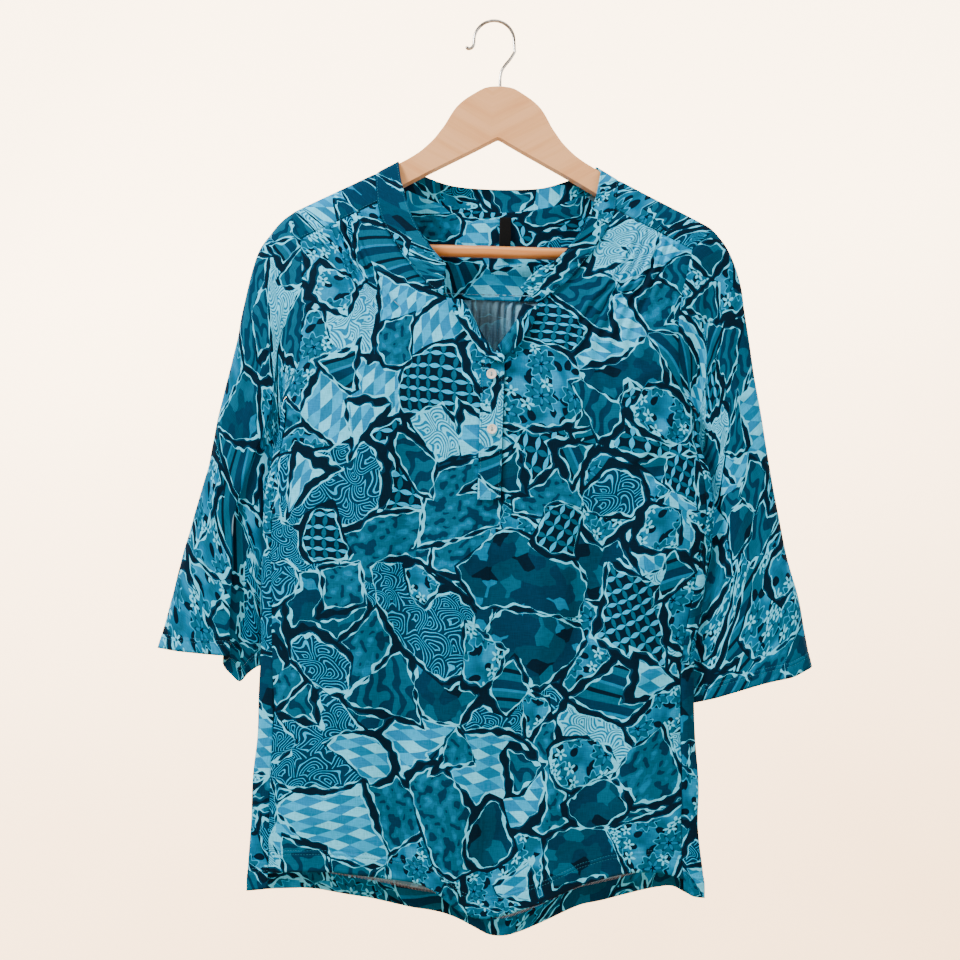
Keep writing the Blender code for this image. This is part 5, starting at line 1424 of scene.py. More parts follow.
        scallop = noise(tree, cloth, 9.0, 0.0)
        ragged = calc(tree, "MULTIPLY_ADD", scallop, 5.5, away)
        width = noise(tree, cloth, 1.7, 0.0)
        width = add(tree, "MapRange", width, 0.34, 0.66, 3.4, 6.4)
        channel = calc(tree, "LESS_THAN", ragged, width)
        core = calc(tree, "LESS_THAN", ragged, calc(tree, "SUBTRACT", width, 1.1))
        bead = noise(tree, cloth, 10.0, 0.0)
        thick = add(tree, "MapRange", bead, 0.38, 0.7, 0.12, 1.2)
        line = calc(tree, "SUBTRACT", calc(tree, "SUBTRACT", ragged, width), 0.7)
        outlined = calc(tree, "LESS_THAN", calc(tree, "ABSOLUTE", line), thick)
        channelled = self.pair(tree, channel, colour, self.deep)
        cored = self.pair(tree, core, channelled, self.navy)
        return self.pair(tree, outlined, cored, self.white)

    def material(self) -> Material:
        """The cloth's material on one of its sides."""
        material, tree, shader = self.start()
        cloth = add(tree, "Mapping", add(tree, "UVMap", uv_map="Cloth"), named={"Location": (3.1, 2.3, 0.0)})
        colour = self.printed(tree, cloth)
        if self.ghost < 1:
            colour = self.faded(tree, colour)
        across = add(tree, "Mapping", cloth, named={"Scale": (3.0, 46.0, 1.0)})
        slub = noise(tree, across, 3.0, 1.0)
        upright = add(tree, "Mapping", cloth, named={"Scale": (52.0, 4.0, 1.0)})
        warp = noise(tree, upright, 3.0, 1.0)
        yarns = calc(tree, "ADD", slub, warp)
        tone = add(tree, "MapRange", yarns, 0.7, 1.3, 0.82, 1.18)
        shaded = vector(tree, "MULTIPLY", colour, tone)
        bump = add(tree, "Bump", named={"Strength": 0.4, "Distance": 0.0003, "Height": yarns})
        put(shader, {"Base Color": shaded, "Normal": bump, "Sheen Weight": 0.02, "Sheen Roughness": 0.4})
        return material

    def faded(self, tree: Tree, colour: Socket) -> Socket:
        """The print as it strikes through to the wrong side."""
        return add(tree, "Mix", self.ghost, named={6: linear(self.bare), 7: colour}, out=2, data_type="RGBA")


@dataclass(frozen=True)
class TurnedWood(Finish):
    """Wood under clear lacquer: sanded arms or a turned bar, with its grain along the length."""

    pale: str = "#EDB07A"
    dark: str = "#DF9C62"
    slope: float = 0.0
    coat: float = 0.35

    def material(self) -> Material:
        """The lacquered wood's material."""
        material, tree, shader = self.start()
        place = add(tree, "SeparateXYZ", add(tree, "TexCoord", out=3))
        mirrored = calc(tree, "ABSOLUTE", place)
        spot = add(tree, "CombineXYZ", mirrored, place.node.outputs[1], place.node.outputs[2])
        turned = add(tree, "VectorRotate", spot, named={"Angle": self.slope}, rotation_type="Y_AXIS")
        drawn = add(tree, "Mapping", turned, named={"Scale": (5.0, 60.0, 95.0)})
        bend = add(tree, "TexNoise", drawn, named={"Scale": 0.6, "Detail": 2.0})
        grain = add(tree, "TexNoise", drawn, named={"Scale": 2.6, "Detail": 5.0, "Distortion": 0.8})
        mixed = calc(tree, "MULTIPLY_ADD", bend, 0.6, calc(tree, "MULTIPLY", grain, 0.5))
        colour = add(tree, "ValToRGB", mixed, stops=[(0.38, linear(self.dark)), (0.62, linear(self.pale))])
        pores = add(tree, "Mapping", turned, named={"Scale": (60.0, 900.0, 900.0)})
        pore = add(tree, "TexNoise", pores, named={"Scale": 1.0, "Detail": 2.0})
        rough = add(tree, "MapRange", pore, 0.3, 0.7, self.roughness - 0.06, self.roughness + 0.1)
        bump = add(tree, "Bump", named={"Strength": 0.12, "Distance": 0.0002, "Height": pore})
        put(shader, {"Base Color": colour, "Roughness": rough, "Normal": bump})
        put(shader, {"Coat Weight": self.coat, "Coat Roughness": 0.22})
        return material


@dataclass(frozen=True)
class PlatedSteel(Finish):
    """Drawn steel wire, bent cold and chrome plated."""

    colour: str = "#C9C6C2"

    def material(self) -> Material:
        """The plated wire's material."""
        material, tree, shader = self.start()
        drawn = add(tree, "Mapping", add(tree, "TexCoord", out=3), named={"Scale": (400.0, 400.0, 60.0)})
        scuff = add(tree, "TexNoise", drawn, named={"Scale": 1.0, "Detail": 3.0})
        rough = add(tree, "MapRange", scuff, 0.3, 0.7, self.roughness - 0.05, self.roughness + 0.12)
        tone = add(tree, "ValToRGB", scuff, stops=[(0.3, linear("#A8A5A2")), (0.7, linear(self.colour))])
        put(shader, {"Base Color": tone, "Roughness": rough, "Metallic": 1.0})
        return material


@dataclass(frozen=True)
class PearlShell(Finish):
    """Moulded resin with a mother-of-pearl sheen, polished."""

    def material(self) -> Material:
        """The button's material."""
        material, tree, shader = self.start()
        place = add(tree, "TexCoord", out=3)
        swirl = add(tree, "TexNoise", place, named={"Scale": 320.0, "Detail": 2.0, "Distortion": 2.0})
        tone = add(
            tree, "ValToRGB", swirl,
            stops=[(0.3, linear("#CBC8BE")), (0.5, linear("#ECE9E0")), (0.7, linear("#D6DCDA"))],
        )
        put(shader, {"Base Color": tone, "Coat Weight": 0.5, "Coat Roughness": 0.12})
        return material


@dataclass(frozen=True)
class WovenTape(Finish):
    """Polyester yarn: a satin-woven tape, or sewing and overlock thread."""

    dark: str = "#030405"
    pale: str = "#0A0B0D"
    ribs: float = 2500.0

    def material(self) -> Material:
        """The yarn's material."""
        material, tree, shader = self.start()
        place = add(tree, "TexCoord", out=3)
        fine = add(tree, "Mapping", place, named={"Scale": (self.ribs, self.ribs, self.ribs * 0.35)})
        yarn = add(tree, "TexNoise", fine, named={"Scale": 1.0, "Detail": 2.0})
        tone = add(tree, "ValToRGB", yarn, stops=[(0.35, linear(self.dark)), (0.65, linear(self.pale))])
        bump = add(tree, "Bump", named={"Strength": 0.3, "Distance": 0.0001, "Height": yarn})
        put(shader, {"Base Color": tone, "Normal": bump})
        return material


@dataclass(frozen=True)
class PaintedWall(Finish):
    """Plaster wall with cream emulsion. Painted shade darkens its colour towards the floor and to the right,
    and a painted glow that only the camera sees makes it look brightly lit.
    """

    low: str = "#AA845C"
    high: str = "#FFE3BE"
    painted_glow: float = 8.0

    def material(self) -> Material:
        """The backdrop's material."""
        material, tree, shader = self.start()
        place = add(tree, "TexCoord", out=3)
        # Painted shade: the colour darkens towards the floor and to the right, where less light falls on the
        # wall.
        height = vector(tree, "DOT_PRODUCT", place, (-0.16, 0.0, 1.0), out=1)
        share = add(tree, "MapRange", height, -2.3, 0.5, 0.0, 1.0)
        patchy = add(tree, "TexNoise", place, named={"Scale": 1.4, "Detail": 2.0})
        share = calc(tree, "MULTIPLY_ADD", patchy, 0.12, share)
        tone = add(tree, "ValToRGB", share, stops=[(0.0, linear(self.low)), (1.0, linear(self.high))])
        # Painted glow: the wall shines for camera rays only, so it looks lit without lighting the blouse.
        seen = calc(tree, "MULTIPLY", add(tree, "LightPath"), self.painted_glow)
        put(shader, {"Base Color": tone, "Emission Color": tone, "Emission Strength": seen})
        return material


def line_near(panel: Panel, side: Side, distance: float) -> Grid:
    """Line on a panel at a distance from one edge, as rows of a point and its normal."""
    away = panel.from_edge(side)
    stack = np.concatenate([panel.points, panel.normals()], axis=-1)
    if side in (Side.LEFT, Side.RIGHT):
        away, stack = away.T, stack.swapaxes(0, 1)
    if side in (Side.BOTTOM, Side.RIGHT):
        away, stack = away[::-1], stack[::-1]
    return np.array([
        [np.interp(distance, away[:, c], stack[:, c, k]) for k in range(6)] for c in range(stack.shape[1])
    ])


@dataclass(frozen=True)
class Sewing:
    """Rows of machine stitches, each a short, plump length of thread that dips into the cloth at its ends.

    loop is the pitch, length and margin of the overlock's slanted loops.
    """

    pitch: float = 2.9
    length: float = 2.1
    thick: float = 0.42
    loop: tuple[float, float, float] = (1.5, 1.1, 2.4)
    stations: tuple[float, ...] = (0.0, 0.2, 0.5, 0.8, 1.0)
    plump: tuple[float, ...] = (0.3, 0.85, 1.0, 0.85, 0.3)
    lift: tuple[float, ...] = (-0.5, 0.35, 0.55, 0.35, -0.5)

    def row(self, line: Grid, raised: float = 0.0) -> tuple[Grid, Grid, Grid]:
        """Starts, ends and normals of the stitches along a line of points and normals."""
        lengths = lengths_of(line[:, :3])
        places = np.arange(0, lengths[-1] - self.pitch, self.pitch)
        here, there = line_at(places, lengths, line), line_at(places + self.length, lengths, line)
        normals = here[:, 3:]
        return here[:, :3] + normals * raised, there[:, :3] + normals * raised, normals

    def overlock(self, line: Grid, width: float) -> tuple[Grid, Grid, Grid]:
        """Starts, ends and normals of the slanted loops over a raw edge, and of the chain along it."""
        lengths = lengths_of(line[:, :3])
        pitch, length, margin = self.loop
        places = np.arange(0, lengths[-1] - margin, pitch)
        here, there = line_at(places, lengths, line), line_at(places + length, lengths, line)
        along_edge = there[:, :3] - here[:, :3]
        along_edge /= np.linalg.norm(along_edge, axis=-1, keepdims=True)
        normals = here[:, 3:] / np.linalg.norm(here[:, 3:], axis=-1, keepdims=True)
        over = np.cross(along_edge, normals) * width / 2
        chain = self.row(line, 0.12)
        beside = line_at(np.arange(len(chain[0])) * self.pitch, places, over) * 0.9
        starts = np.concatenate([here[:, :3] - over, chain[0] - beside])
        ends = np.concatenate([there[:, :3] + over, chain[1] - beside])
        return starts, ends, np.concatenate([normals, chain[2]])

    def lay(self, name: str, stitches: Sequence[tuple[Grid, Grid, Grid]], finish: Material) -> None:
        """Makes one piece of all these stitches.

        Args:
            name: Name of the piece.
            stitches: Starts, ends and normals of each row.
            finish: The thread's material.
        """
        starts, ends, normals = (np.concatenate([row[k] for row in stitches]) for k in range(3))
        run = ends - starts
        run /= np.linalg.norm(run, axis=-1, keepdims=True)
        normals = normals - run * (normals * run).sum(axis=-1, keepdims=True)
        normals /= np.linalg.norm(normals, axis=-1, keepdims=True)
        across = np.cross(run, normals)
        sides, rings = 6, len(self.stations)
        turn = (np.arange(sides) / sides * 2 * math.pi)[None, :, None]
        points = []
        for station, plump, lift in zip(self.stations, self.plump, self.lift):
            centre = starts + (ends - starts) * station + normals * lift * self.thick / 2
            reach = plump * self.thick / 2
            ring = across[:, None] * np.cos(turn) + normals[:, None] * np.sin(turn)
            points.append(centre[:, None] + ring * reach)
        spots = HUNG.place(np.stack(points, axis=1)).reshape(-1, 3)
        base = np.arange(len(starts))[:, None, None] * sides * rings
        ring_at = np.arange(rings - 1)[None, :, None] * sides
        step = np.arange(sides)[None, None, :]
        following = (step + 1) % sides
        quads = np.stack([
            base + ring_at + step, base + ring_at + following,
            base + ring_at + sides + following, base + ring_at + sides + step,
        ], axis=-1).reshape(-1, 4)
        piece = new_piece(name, spots.tolist(), quads.tolist(), [finish])
        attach(piece, BODY_NAME)


def band_above(panel: Panel, height: float, inset: float) -> Panel:
    """Inside of a turned-up hem: a strip of the cloth folded up behind its own edge, printed side inwards."""
    away = panel.from_edge(Side.BOTTOM)[::-1]
    stack = np.concatenate([panel.points, panel.normals(), panel.flat], axis=-1)[::-1]
    heights = np.concatenate([[0.35], np.linspace(1.5, height, 8)])
    strip = np.array([
        [[np.interp(h, away[:, c], stack[:, c, k]) for k in range(8)] for c in range(stack.shape[1])]
        for h in heights
    ])
    drop = np.minimum(inset, np.array([0.6] + [inset] * (len(heights) - 1)))
    points = strip[..., :3] - strip[..., 3:6] * drop[:, None, None]
    flat = strip[..., 6:].copy()
    flat[..., 1] -= 2 * heights[:, None]
    row_at, column_at = (np.arange(count, dtype=float) for count in points.shape[:2])
    return Panel(points, flat, row_at, column_at, panel.out, panel.ring)


def new_cylinder(
    name: str, radius: float, depth: float, centre: Sequence[float], turn: Sequence[float], count: int,
) -> Piece:
    """Adds a cylinder at its size and place, in metres, and selects it alone."""
    bpy.ops.object.select_all(action="DESELECT")
    bpy.ops.mesh.primitive_cylinder_add(
        vertices=count, radius=radius, depth=depth, location=centre, rotation=turn,
    )
    piece = bpy.context.object
    piece.name = piece.data.name = name
    bpy.ops.object.transform_apply(location=True, rotation=True, scale=True)
    return piece


def select_faces(piece: Piece, wanted: Grid) -> None:
    """Selects the faces of a piece in edit mode, all others off."""
    bpy.ops.object.mode_set(mode="OBJECT")
    mesh = piece.data
    mesh.vertices.foreach_set("select", np.zeros(len(mesh.vertices), bool))
    mesh.edges.foreach_set("select", np.zeros(len(mesh.edges), bool))
    mesh.polygons.foreach_set("select", wanted)
    bpy.context.tool_settings.mesh_select_mode = (False, False, True)
    bpy.ops.object.mode_set(mode="EDIT")


def facing(piece: Piece, way: Sequence[float], least: float = 0.9) -> Grid:
    """True for each face of a piece that looks along a direction."""
    bpy.ops.object.mode_set(mode="OBJECT")
    normals = np.array([face.normal for face in piece.data.polygons])
    return normals @ np.array(way) > least


def bore(piece: Piece, tool: Piece) -> None:
    """Drills a piece with a tool, which is then taken away."""
    bpy.ops.object.mode_set(mode="OBJECT")
    hole = piece.modifiers.new("Bore", "BOOLEAN")
    hole.operation, hole.solver, hole.object = "DIFFERENCE", "EXACT", tool
    apply_modifiers(piece)
    bpy.data.objects.remove(tool, do_unlink=True)


def finish_hard(piece: Piece, material: Material, node: str, angle: float = 40) -> None:
    """Rounds off a hard piece's shading, dresses it and puts it in its node's place."""
    if bpy.context.mode != "OBJECT":
        bpy.ops.object.mode_set(mode="OBJECT")
    bpy.ops.object.select_all(action="DESELECT")
    bpy.context.view_layer.objects.active = piece
    piece.select_set(True)
    bpy.ops.object.shade_smooth_by_angle(angle=math.radians(angle))
    piece.select_set(False)
    piece.data.materials.clear()
    piece.data.materials.append(material)
    settle(piece, node)


@dataclass(frozen=True)
class Hanger:
    """Flat wooden hanger with its trouser bar and its swivelling wire hook. Outline is the right half."""

    outline: Table = (
        (0, -50.5), (13, -49), (25, -42.5), (34, -36.5), (42, -29), (48, -20), (53, -11), (58, -4),
        (64, 4), (70, 10), (76, 15.5), (86, 22.5), (97, 28.8), (130, 45.6), (165, 63.4), (194, 78.2),
        (204, 84.2), (210.5, 92), (213, 102), (211, 113), (205, 120.5), (197, 123), (190, 120.5),
        (187, 113.5), (186.5, 106), (180, 98), (165, 90), (130, 70.5), (97, 52.5), (73, 39), (49, 26.2),
        (24, 13), (6, 3.2), (0, 0),
    )
    thickness: float = 12.0
    rounding: float = 3.6
    bar_down: float = 113.5
    bar_half: float = 184.5
    bar_radius: float = 6.0
    tenon: tuple[float, float] = (3.0, 14.5)
    wire_radius: float = 1.5
    bore_room: float = 0.2
    stem_bore: tuple[float, float] = (-45.0, 30.0)
    bar_bore: tuple[float, float] = (192.5, 16.0)
    stem: Table = (
        (0.6, -38.5), (0.6, -50), (0.6, -62), (1.8, -68), (5, -73.5), (10, -80), (14.2, -87),
    )
    arc_centre: tuple[float, float] = (-6.7, -97.8)
    arc_reach: float = 20.0
    tip: Table = ((-27.0, -92.5), (-29.3, -89.8), (-32.0, -89.2), (-34.0, -90.4))

    def build(self, wood: Material, bar_wood: Material, steel: Material) -> None:
        """Builds and dresses the three pieces."""
        self.arms(wood)
        self.bar(bar_wood)
        self.hook(steel)

    def arms(self, wood: Material) -> None:
        """The board: its outline drawn, extruded through its thickness, drilled and rounded."""
        right = np.array(self.outline)
        whole = np.concatenate([right, (right * (-1, 1))[1:-1][::-1]])
        fine = along(np.concatenate([whole, whole[:1]]), np.linspace(0, 1, 221))[:-1]
        bpy.ops.object.select_all(action="DESELECT")
        bpy.ops.mesh.primitive_circle_add(vertices=len(fine), radius=0.1, fill_type="NGON")
        board = bpy.context.object
        board.name = board.data.name = "hanger_board"
        depth = np.full(len(fine), -self.thickness / 2)
        spots = HUNG.place(np.column_stack([fine, depth]))
        for vertex, spot in zip(board.data.vertices, spots[::-1]):
            vertex.co = spot
        bpy.ops.object.mode_set(mode="EDIT")
        bpy.ops.mesh.select_all(action="SELECT")
        bpy.ops.mesh.extrude_region_move(TRANSFORM_OT_translate={"value": (0, self.thickness / 1000, 0)})
        bpy.ops.mesh.select_all(action="SELECT")
        bpy.ops.mesh.normals_make_consistent(inside=False)
        bpy.ops.object.mode_set(mode="OBJECT")
        bores = [(self.wire_radius, (self.stem[0][0], self.stem_bore[0], 0.0), self.stem_bore[1], 0.0)]
        for side in (-1, 1):
            spot = (side * self.bar_bore[0], self.bar_down, 0.0)
            bores.append((self.tenon[0], spot, self.bar_bore[1], math.pi / 2))
        for radius, spot, depth, lean in bores:
            size = ((radius + self.bore_room) / 1000, depth / 1000)
            bore(board, new_cylinder("drill", *size, HUNG.place(np.array(spot)), (0, lean, 0), 24))
        edge = board.modifiers.new("Rounding", "BEVEL")
        edge.width, edge.segments = self.rounding / 1000, 5
        edge.limit_method, edge.angle_limit = "ANGLE", math.radians(60)
        edge.harden_normals, edge.use_clamp_overlap = True, True
        board.data.shade_smooth()
        apply_modifiers(board)
        board.data.materials.append(wood)
        settle(board, "hanger_body")

    def bar(self, wood: Material) -> None:
        """The turned bar, with a tenon at each end that enters the board."""
        spot = HUNG.place(np.array([0.0, self.bar_down, 0.0]))
        turn = (0, math.pi / 2, 0)
        bar = new_cylinder("hanger_bar", self.bar_radius / 1000, 2 * self.bar_half / 1000, spot, turn, 40)
        for way in (-1, 1):
            select_faces(bar, facing(bar, (way, 0, 0)))
            bpy.ops.mesh.inset(thickness=0.0006)
            bpy.ops.mesh.inset(thickness=(self.bar_radius - self.tenon[0]) / 1000 - 0.0006)
            pull = (way * self.tenon[1] / 1000, 0, 0)
            bpy.ops.mesh.extrude_region_move(TRANSFORM_OT_translate={"value": pull})
        finish_hard(bar, wood, "trouser_bar", 50)

    def hook(self, steel: Material) -> None:
        """The bent wire: a ring at the stem's foot, extruded and turned along the bends to its domed tip."""
        arc = np.radians(np.arange(-5, 186, 5))
        over = self.arc_centre + self.arc_reach * np.column_stack([np.cos(arc), -np.sin(arc)])
        stem, tip = along(self.stem, np.linspace(0, 1, 22)), along(self.tip, np.linspace(0, 1, 9))
        rows = np.concatenate([stem, over[1:], tip])
        path = HUNG.place(np.column_stack([rows, np.zeros(len(rows))]))
        bpy.ops.object.select_all(action="DESELECT")
        bpy.ops.mesh.primitive_circle_add(
            vertices=20, radius=self.wire_radius / 1000, fill_type="NGON", location=path[0],
        )
        hook = bpy.context.object
        hook.name = hook.data.name = "hanger_wire"
        bpy.ops.object.transform_apply(location=True, rotation=True, scale=True)
        ways = np.gradient(path, axis=0)
        angles = np.unwrap(np.arctan2(ways[:, 0], ways[:, 2]))
        bpy.ops.object.mode_set(mode="EDIT")
        bpy.ops.mesh.select_all(action="SELECT")
        swell = np.ones(len(path))
        swell[-4:] = (1.05, 1.15, 1.2, 1.1)
        size, held = 1.0, 0.0
        for number in range(1, len(path)):
            step = path[number] - path[number - 1]
            bpy.ops.mesh.extrude_region_move(TRANSFORM_OT_translate={"value": step.tolist()})
            mesh = bpy.context.edit_object.data
            self.turn_ring(mesh, Vector(path[number]), angles[number] - held, swell[number] / size)
            held, size = angles[number], swell[number]
        for reach, ratio in ((0.0007, 0.72), (0.0004, 0.45)):
            way = Vector((math.sin(held), 0, math.cos(held)))
            bpy.ops.mesh.extrude_region_move(TRANSFORM_OT_translate={"value": way * reach})
            path[-1] += np.array(way) * reach
            self.turn_ring(bpy.context.edit_object.data, Vector(path[-1]), 0.0, ratio)
        bpy.ops.mesh.select_all(action="SELECT")
        bpy.ops.mesh.normals_make_consistent(inside=False)
        finish_hard(hook, steel, "hanger_hook", 50)

    @staticmethod
    def turn_ring(mesh: bpy.types.Mesh, centre: Vector, angle: float, ratio: float) -> None:
        """Turns the ring just extruded about the wire's bending axis and sizes it about its centre."""
        bpy.ops.transform.rotate(value=-angle, orient_axis="Y", center_override=centre)
        if abs(ratio - 1) > 1e-6:
            bpy.ops.transform.resize(value=(ratio, ratio, ratio), center_override=centre)
        mesh.update_tag()


@dataclass(frozen=True)
class Button:
    """Small two-hole button sewn through the placket, one hole above the other."""

    node: str
    lean: float
    diameter: float = 9.5
    thickness: float = 2.2
    rim: float = 1.25
    dish: float = 0.55
    hole: float = 1.5
    pitch: float = 2.6
    line: float = 0.0004
    edge: float = 0.00028
    threads: tuple[float, ...] = (-0.36, 0.0, 0.36)
    thread_radius: float = 0.00017

    def build(self, pearl: Material, thread: Material) -> None:
        """Models, drills, places and sews the button."""
        low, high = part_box(self.node)
        centre = (low + high) / 2
        face = (math.pi / 2, 0, 0)
        size = (self.diameter / 2000, self.thickness / 1000)
        disc = new_cylinder(self.node + "_shell", *size, centre, face, 56)
        select_faces(disc, facing(disc, (0, -1, 0)))
        for step in (self.line, self.rim / 1000 - self.line, self.line):
            bpy.ops.mesh.inset(thickness=step)
        bpy.ops.transform.translate(value=(0, self.dish / 1000, 0))
        bpy.ops.object.mode_set(mode="OBJECT")
        for step in (-1, 1):
            spot = centre + Vector((0, 0, step * self.pitch / 2000))
            bore(disc, new_cylinder("button_drill", self.hole / 2000, 0.006, spot, face, 20))
        edge = disc.modifiers.new("Edge", "BEVEL")
        edge.width, edge.segments = self.edge, 3
        edge.limit_method, edge.angle_limit = "ANGLE", math.radians(28)
        apply_modifiers(disc)
        finish_hard(disc, pearl, self.node, 40)
        loops = []
        for way in self.threads:
            bpy.ops.object.select_all(action="DESELECT")
            bpy.ops.mesh.primitive_torus_add(
                location=centre + Vector((way / 1000, 0, 0)), rotation=(0, math.pi / 2, 0),
                major_radius=self.pitch / 2000, minor_radius=self.thread_radius,
                major_segments=28, minor_segments=8,
            )
            loops.append(bpy.context.object)
        for loop in loops:
            loop.select_set(True)
        bpy.context.view_layer.objects.active = loops[0]
        bpy.ops.object.transform_apply(location=True, rotation=True, scale=True)
        bpy.ops.object.join()
        sewn = bpy.context.object
        sewn.name = sewn.data.name = self.node + "_thread"
        sewn.data.shade_smooth()
        sewn.data.materials.append(thread)
        sewn.select_set(False)
        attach(sewn, BODY_NAME)


@dataclass(frozen=True)
class Label:
    """Bare woven strip that hangs inside the back from the band's seam, drawn as one layer without the fold
    at its foot.
    """

    top: float = 78.5
    length: float = 41.0
    left: float = 3.8
    right: float = 15.3
    depth: float = 17.2
    sag: float = 1.5
    wall: float = 0.6

    def panel(self) -> Panel:
        """The strip as a panel."""
        shares = np.linspace(0, 1, 7)
        downs = self.top + self.length * shares
        depth = self.depth - self.sag * np.sin(shares * math.pi)
        across = np.linspace(self.left, self.right, 5)
        cage = np.stack(np.broadcast_arrays(across[None, :], downs[:, None], depth[:, None]), axis=-1).copy()
        cage[..., 0] += np.array([0, 0.1, 0.15, 0.3, 0.2, 0.1, 0.3])[:, None]
        cage[..., 2] -= np.array([0.0, 0.15, 0.25, 0.15, 0.0])[None, :] * shares[:, None]
        return Panel.through(HUNG.level(cage), (0.8, 1.0))


@dataclass(frozen=True)
class Studio:
    """Backdrop, lights and camera, which aren't part of the blouse."""

    camera_place: tuple[float, float, float] = (-0.0018, -1.05, -0.4577)
    camera_roll: float = 1.6
    lens: float = 39.4
    wall_at: float = 2.4
    wall_top: float = 6.0
    floor_at: float = -1.7
    floor_front: float = -5.0
    bend: float = 1.2
    half_width: float = 9.0
    aim: tuple[float, float, float] = (0.0, 0.0, -0.45)

    def build(self, wall: Material) -> None:
        """Builds the sweep of wall and floor, the soft lights and the camera."""
        rows = [(self.wall_at, self.wall_top)]
        for turn in np.linspace(0, math.pi / 2, 14):
            back, up = self.bend * (1 - math.cos(turn)), self.bend * (1 - math.sin(turn))
            rows.append((self.wall_at - back, self.floor_at + up))
        rows.append((self.floor_front, self.floor_at))
        points = [(x, y, z) for y, z in rows for x in (-self.half_width, self.half_width)]
        faces = [(2 * i, 2 * i + 2, 2 * i + 3, 2 * i + 1) for i in range(len(rows) - 1)]
        new_piece("backdrop", points, faces, [wall])
        for name, place, size, power, colour in (
            ("key", (-1.7, -1.3, 1.1), 0.7, 104.0, "#FFFCF8"),
            ("fill", (1.7, -1.7, 0.1), 1.6, 26.0, "#FFFBF5"),
            ("top", (0.1, -0.5, 1.5), 1.0, 18.0, "#FFFCF8"),
            ("low", (0.2, -1.9, -1.4), 1.4, 13.0, "#FFF9F0"),
            ("behind_left", (-2.2, 1.3, 0.6), 1.0, 72.0, "#FFFCF8"),
            ("behind_right", (2.3, 1.2, 0.1), 1.4, 44.0, "#FFFCF8"),
        ):
            light = bpy.data.lights.new(name, "AREA")
            light.size, light.energy = size, power
            light.color = linear(colour)[:3]
            lamp = bpy.data.objects.new(name, light)
            bpy.context.scene.collection.objects.link(lamp)
            aim = Vector(self.aim) - Vector(place)
            lamp.rotation_euler = aim.to_track_quat("-Z", "Y").to_euler()
            lamp.location = place
        world = bpy.data.worlds.new("room")
        bpy.context.scene.world = world
        world.use_nodes = True
        air = world.node_tree.nodes["Background"]
        seen = add(world.node_tree, "MapRange", add(world.node_tree, "LightPath"), 0.0, 1.0, 0.45, 5.0)
        put(air, {"Color": linear("#FDF0DF"), "Strength": seen})
        camera = bpy.data.cameras.new("camera")
        camera.lens, camera.sensor_width = self.lens, 36.0
        camera.clip_end = 60.0
        stand = bpy.data.objects.new("camera", camera)
        bpy.context.scene.collection.objects.link(stand)
        turn = Matrix.Rotation(math.pi / 2, 4, "X") @ Matrix.Rotation(math.radians(self.camera_roll), 4, "Z")
        stand.matrix_world = Matrix.Translation(self.camera_place) @ turn
        bpy.context.scene.camera = stand


class Wardrobe:
    """Cuts, hangs, dresses and sews the cloth pieces, with the materials that they share."""

    def __init__(self) -> None:
        """Makes the materials."""
        self.right_side = PrintedViscose("printed_viscose", 0.85, 0.06).material()
        self.wrong_side = PrintedViscose("viscose_wrong_side", 0.9, 0.06, ghost=0.3).material()
        self.thread = WovenTape("teal_thread", 0.6, dark="#08445A", pale="#1B7F9A", ribs=3000).material()
        looped = WovenTape("overlock_thread", 0.7, dark="#A79BA3", pale="#D3C8CD", ribs=3000)
        self.overlock = looped.material()
        self.tape = WovenTape("black_satin_tape", 0.5, 0.1).material()
        self.sewing = Sewing()

    def hang(
        self, name: str, panel: Panel, node: str,
        shift: tuple[float, float], wall: float = 0.5, double: bool = False, keep: Grid | None = None,
    ) -> None:
        """Args:
            name: Name of the piece.
            panel: The panel.
            node: The solid that it stands for.
            shift: Where on the printed cloth it was cut, in millimetres.
            wall: Thickness in millimetres.
            double: True for a folded double layer, printed on both its faces.
            keep: Faces that are there.
        """
        finishes = (self.right_side,) if double else (self.right_side, self.wrong_side)
        piece = shell(name, panel, finishes, wall, centred=double, keep=keep, cloth_shift=shift)
        if double:
            edge = piece.modifiers.new("Folded edge", "BEVEL")
            edge.width, edge.segments = wall * 0.32 / 1000, 2
            edge.limit_method, edge.angle_limit = "ANGLE", math.radians(60)
        apply_modifiers(piece)
        settle(piece, node)

    def turn_up(self, name: str, panel: Panel, height: float, shift: tuple[float, float]) -> Piece:
        """Makes the inside of a hem, with the overlock over its raw edge."""
        strip = band_above(panel, height, 1.0)
        piece = shell(name, strip, (self.right_side,), 0.35, cloth_shift=shift)
        apply_modifiers(piece)
        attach(piece, BODY_NAME)
        normals = strip.normals()
        line = np.concatenate([strip.points[-1], normals[-1]], axis=-1)
        loops = self.sewing.overlock(line, 3.6)
        self.sewing.lay(name + "_overlock", [loops], self.overlock)
        return piece

    def stitch(self, name: str, rows: Sequence[tuple[Panel, Side, float, float]]) -> None:
        """Sews rows of stitches at distances from the edges of panels, raised above their surface."""
        laid = [self.sewing.row(line_near(panel, side, away), raised) for panel, side, away, raised in rows]
        self.sewing.lay(name, laid, self.thread)

    def hem(self, name: str, panel: Panel, width: float) -> None:
        """Sews a hem of this width with a twin needle."""
        self.stitch(name, [(panel, Side.BOTTOM, width + needle, 0.0) for needle in TWIN_NEEDLE])


def build_body(wardrobe: Wardrobe) -> None:
    """Builds the front and the back with their turned-up hems."""
    cut = FrontPanel()
    front, there = cut.panel()
    cut.crease(front)
    hem = wardrobe.turn_up("front_hem", front, cut.hem_width, (0.0, 0.0))
    wardrobe.hang(
        "front_cloth", front, "front", (0.0, 0.0), cut.wall, keep=there,
    )
    wardrobe.hem("front_hem_stitches", front, cut.hem_width)
    rear = BackPanel()
    back = rear.panel(cut.lower_levels())
    rear.crease(back)
    hem = wardrobe.turn_up("back_hem", back, rear.hem_width, (240.0, 130.0))
    wardrobe.hang(
        "back_cloth", back, "back", (240.0, 130.0), rear.wall,
    )
    wardrobe.hem("back_hem_stitches", back, rear.hem_width)


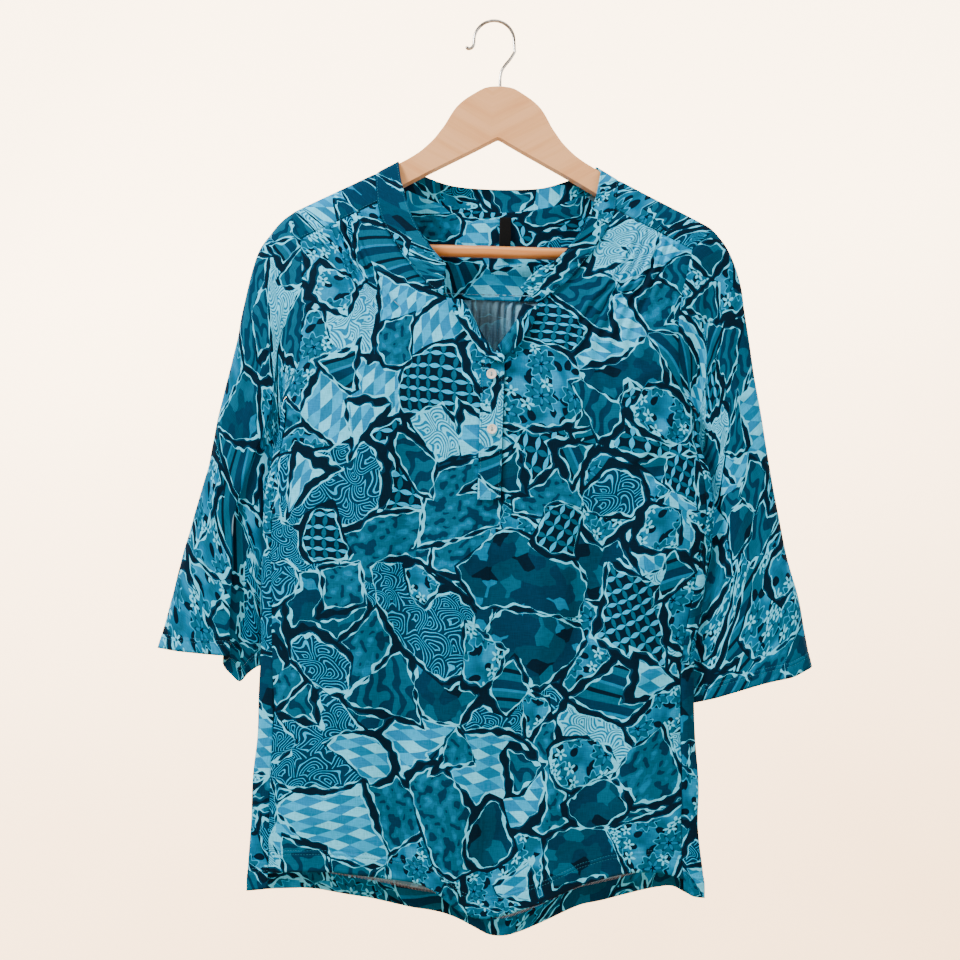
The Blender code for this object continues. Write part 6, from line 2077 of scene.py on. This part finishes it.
def build_top(wardrobe: Wardrobe) -> None:
    """Builds the yoke, its facing, the neck band, the placket and the label."""
    over, inside = YOKE.panels()
    wardrobe.hang(
        "yoke_cloth", over, "yoke", (90.0, 310.0), YOKE.wall,
    )
    wardrobe.hang(
        "yoke_facing_cloth", inside, "yoke_facing", (-130.0, 90.0), YOKE.wall,
    )
    wardrobe.stitch("yoke_stitches", [
        (over, Side.TOP, 1.6, 0.0), (over, Side.BOTTOM, 1.6, 0.0),
    ])
    band = NeckBand()
    strip = band.panel()
    wardrobe.hang(
        "neck_band_cloth", strip, "neck_band", (40.0, -260.0), band.wall, True,
    )
    wardrobe.stitch("neck_band_stitches", [
        (strip, Side.LEFT, 2.0, band.wall / 2), (strip, Side.RIGHT, 1.8, band.wall / 2),
    ])
    placket = Placket()
    upper, lower = placket.panels()
    wardrobe.hang(
        "placket_top_cloth", upper, "placket_top", (-148.0, 203.0),
        placket.wall, True,
    )
    wardrobe.hang(
        "placket_under_cloth", lower, "placket_under", (60.0, -40.0),
        placket.wall, True,
    )
    half = placket.wall / 2
    wardrobe.stitch("placket_stitches", [
        (upper, Side.LEFT, 2.0, half), (upper, Side.RIGHT, 2.0, half), (upper, Side.BOTTOM, 2.5, half),
        (upper, Side.BOTTOM, 9.0, half),
    ])
    label = Label()
    piece = shell("label_tape", label.panel(), (wardrobe.tape,), label.wall, centred=True)
    apply_modifiers(piece)
    settle(piece, "label")


def build_sleeves(wardrobe: Wardrobe) -> None:
    """Builds both sleeves with their turned-up hems."""
    for name, sleeve, cut, shift in (
        ("sleeve_left", LEFT_SLEEVE, (0.30, 0.45, 0.083), (-330.0, 60.0)),
        ("sleeve_right", RIGHT_SLEEVE, (0.32, 0.48, 0.091), (350.0, -90.0)),
    ):
        tube = sleeve.panel(YOKE)
        hem = wardrobe.turn_up(name + "_hem", tube, sleeve.hem_width, shift)
        wardrobe.hang(
            name + "_cloth", tube, name, shift, sleeve.wall,
        )
        wardrobe.hem(name + "_stitches", tube, sleeve.hem_width)


def main() -> None:
    """Builds everything in order."""
    logging.basicConfig(level=logging.INFO, format="%(name)s %(message)s")
    Studio().build(PaintedWall("cream_wall", 0.9, 0.2).material())
    wood = TurnedWood("lacquered_board", 0.42, slope=math.radians(28)).material()
    bar_wood = TurnedWood("lacquered_bar", 0.4, pale="#D98C45", dark="#BB6A2B", coat=0.3).material()
    Hanger().build(wood, bar_wood, PlatedSteel("chrome_wire", 0.16).material())
    wardrobe = Wardrobe()
    build_top(wardrobe)
    build_body(wardrobe)
    build_sleeves(wardrobe)
    pearl = PearlShell("pearl_resin", 0.25).material()
    sewn = WovenTape("button_thread", 0.6, dark="#5F8B99", pale="#9EC3CF", ribs=3000).material()
    for node, lean in (("button_upper", 5.0), ("button_lower", 0.0)):
        Button(node, lean).build(pearl, sewn)


if __name__ == "__main__":
    main()
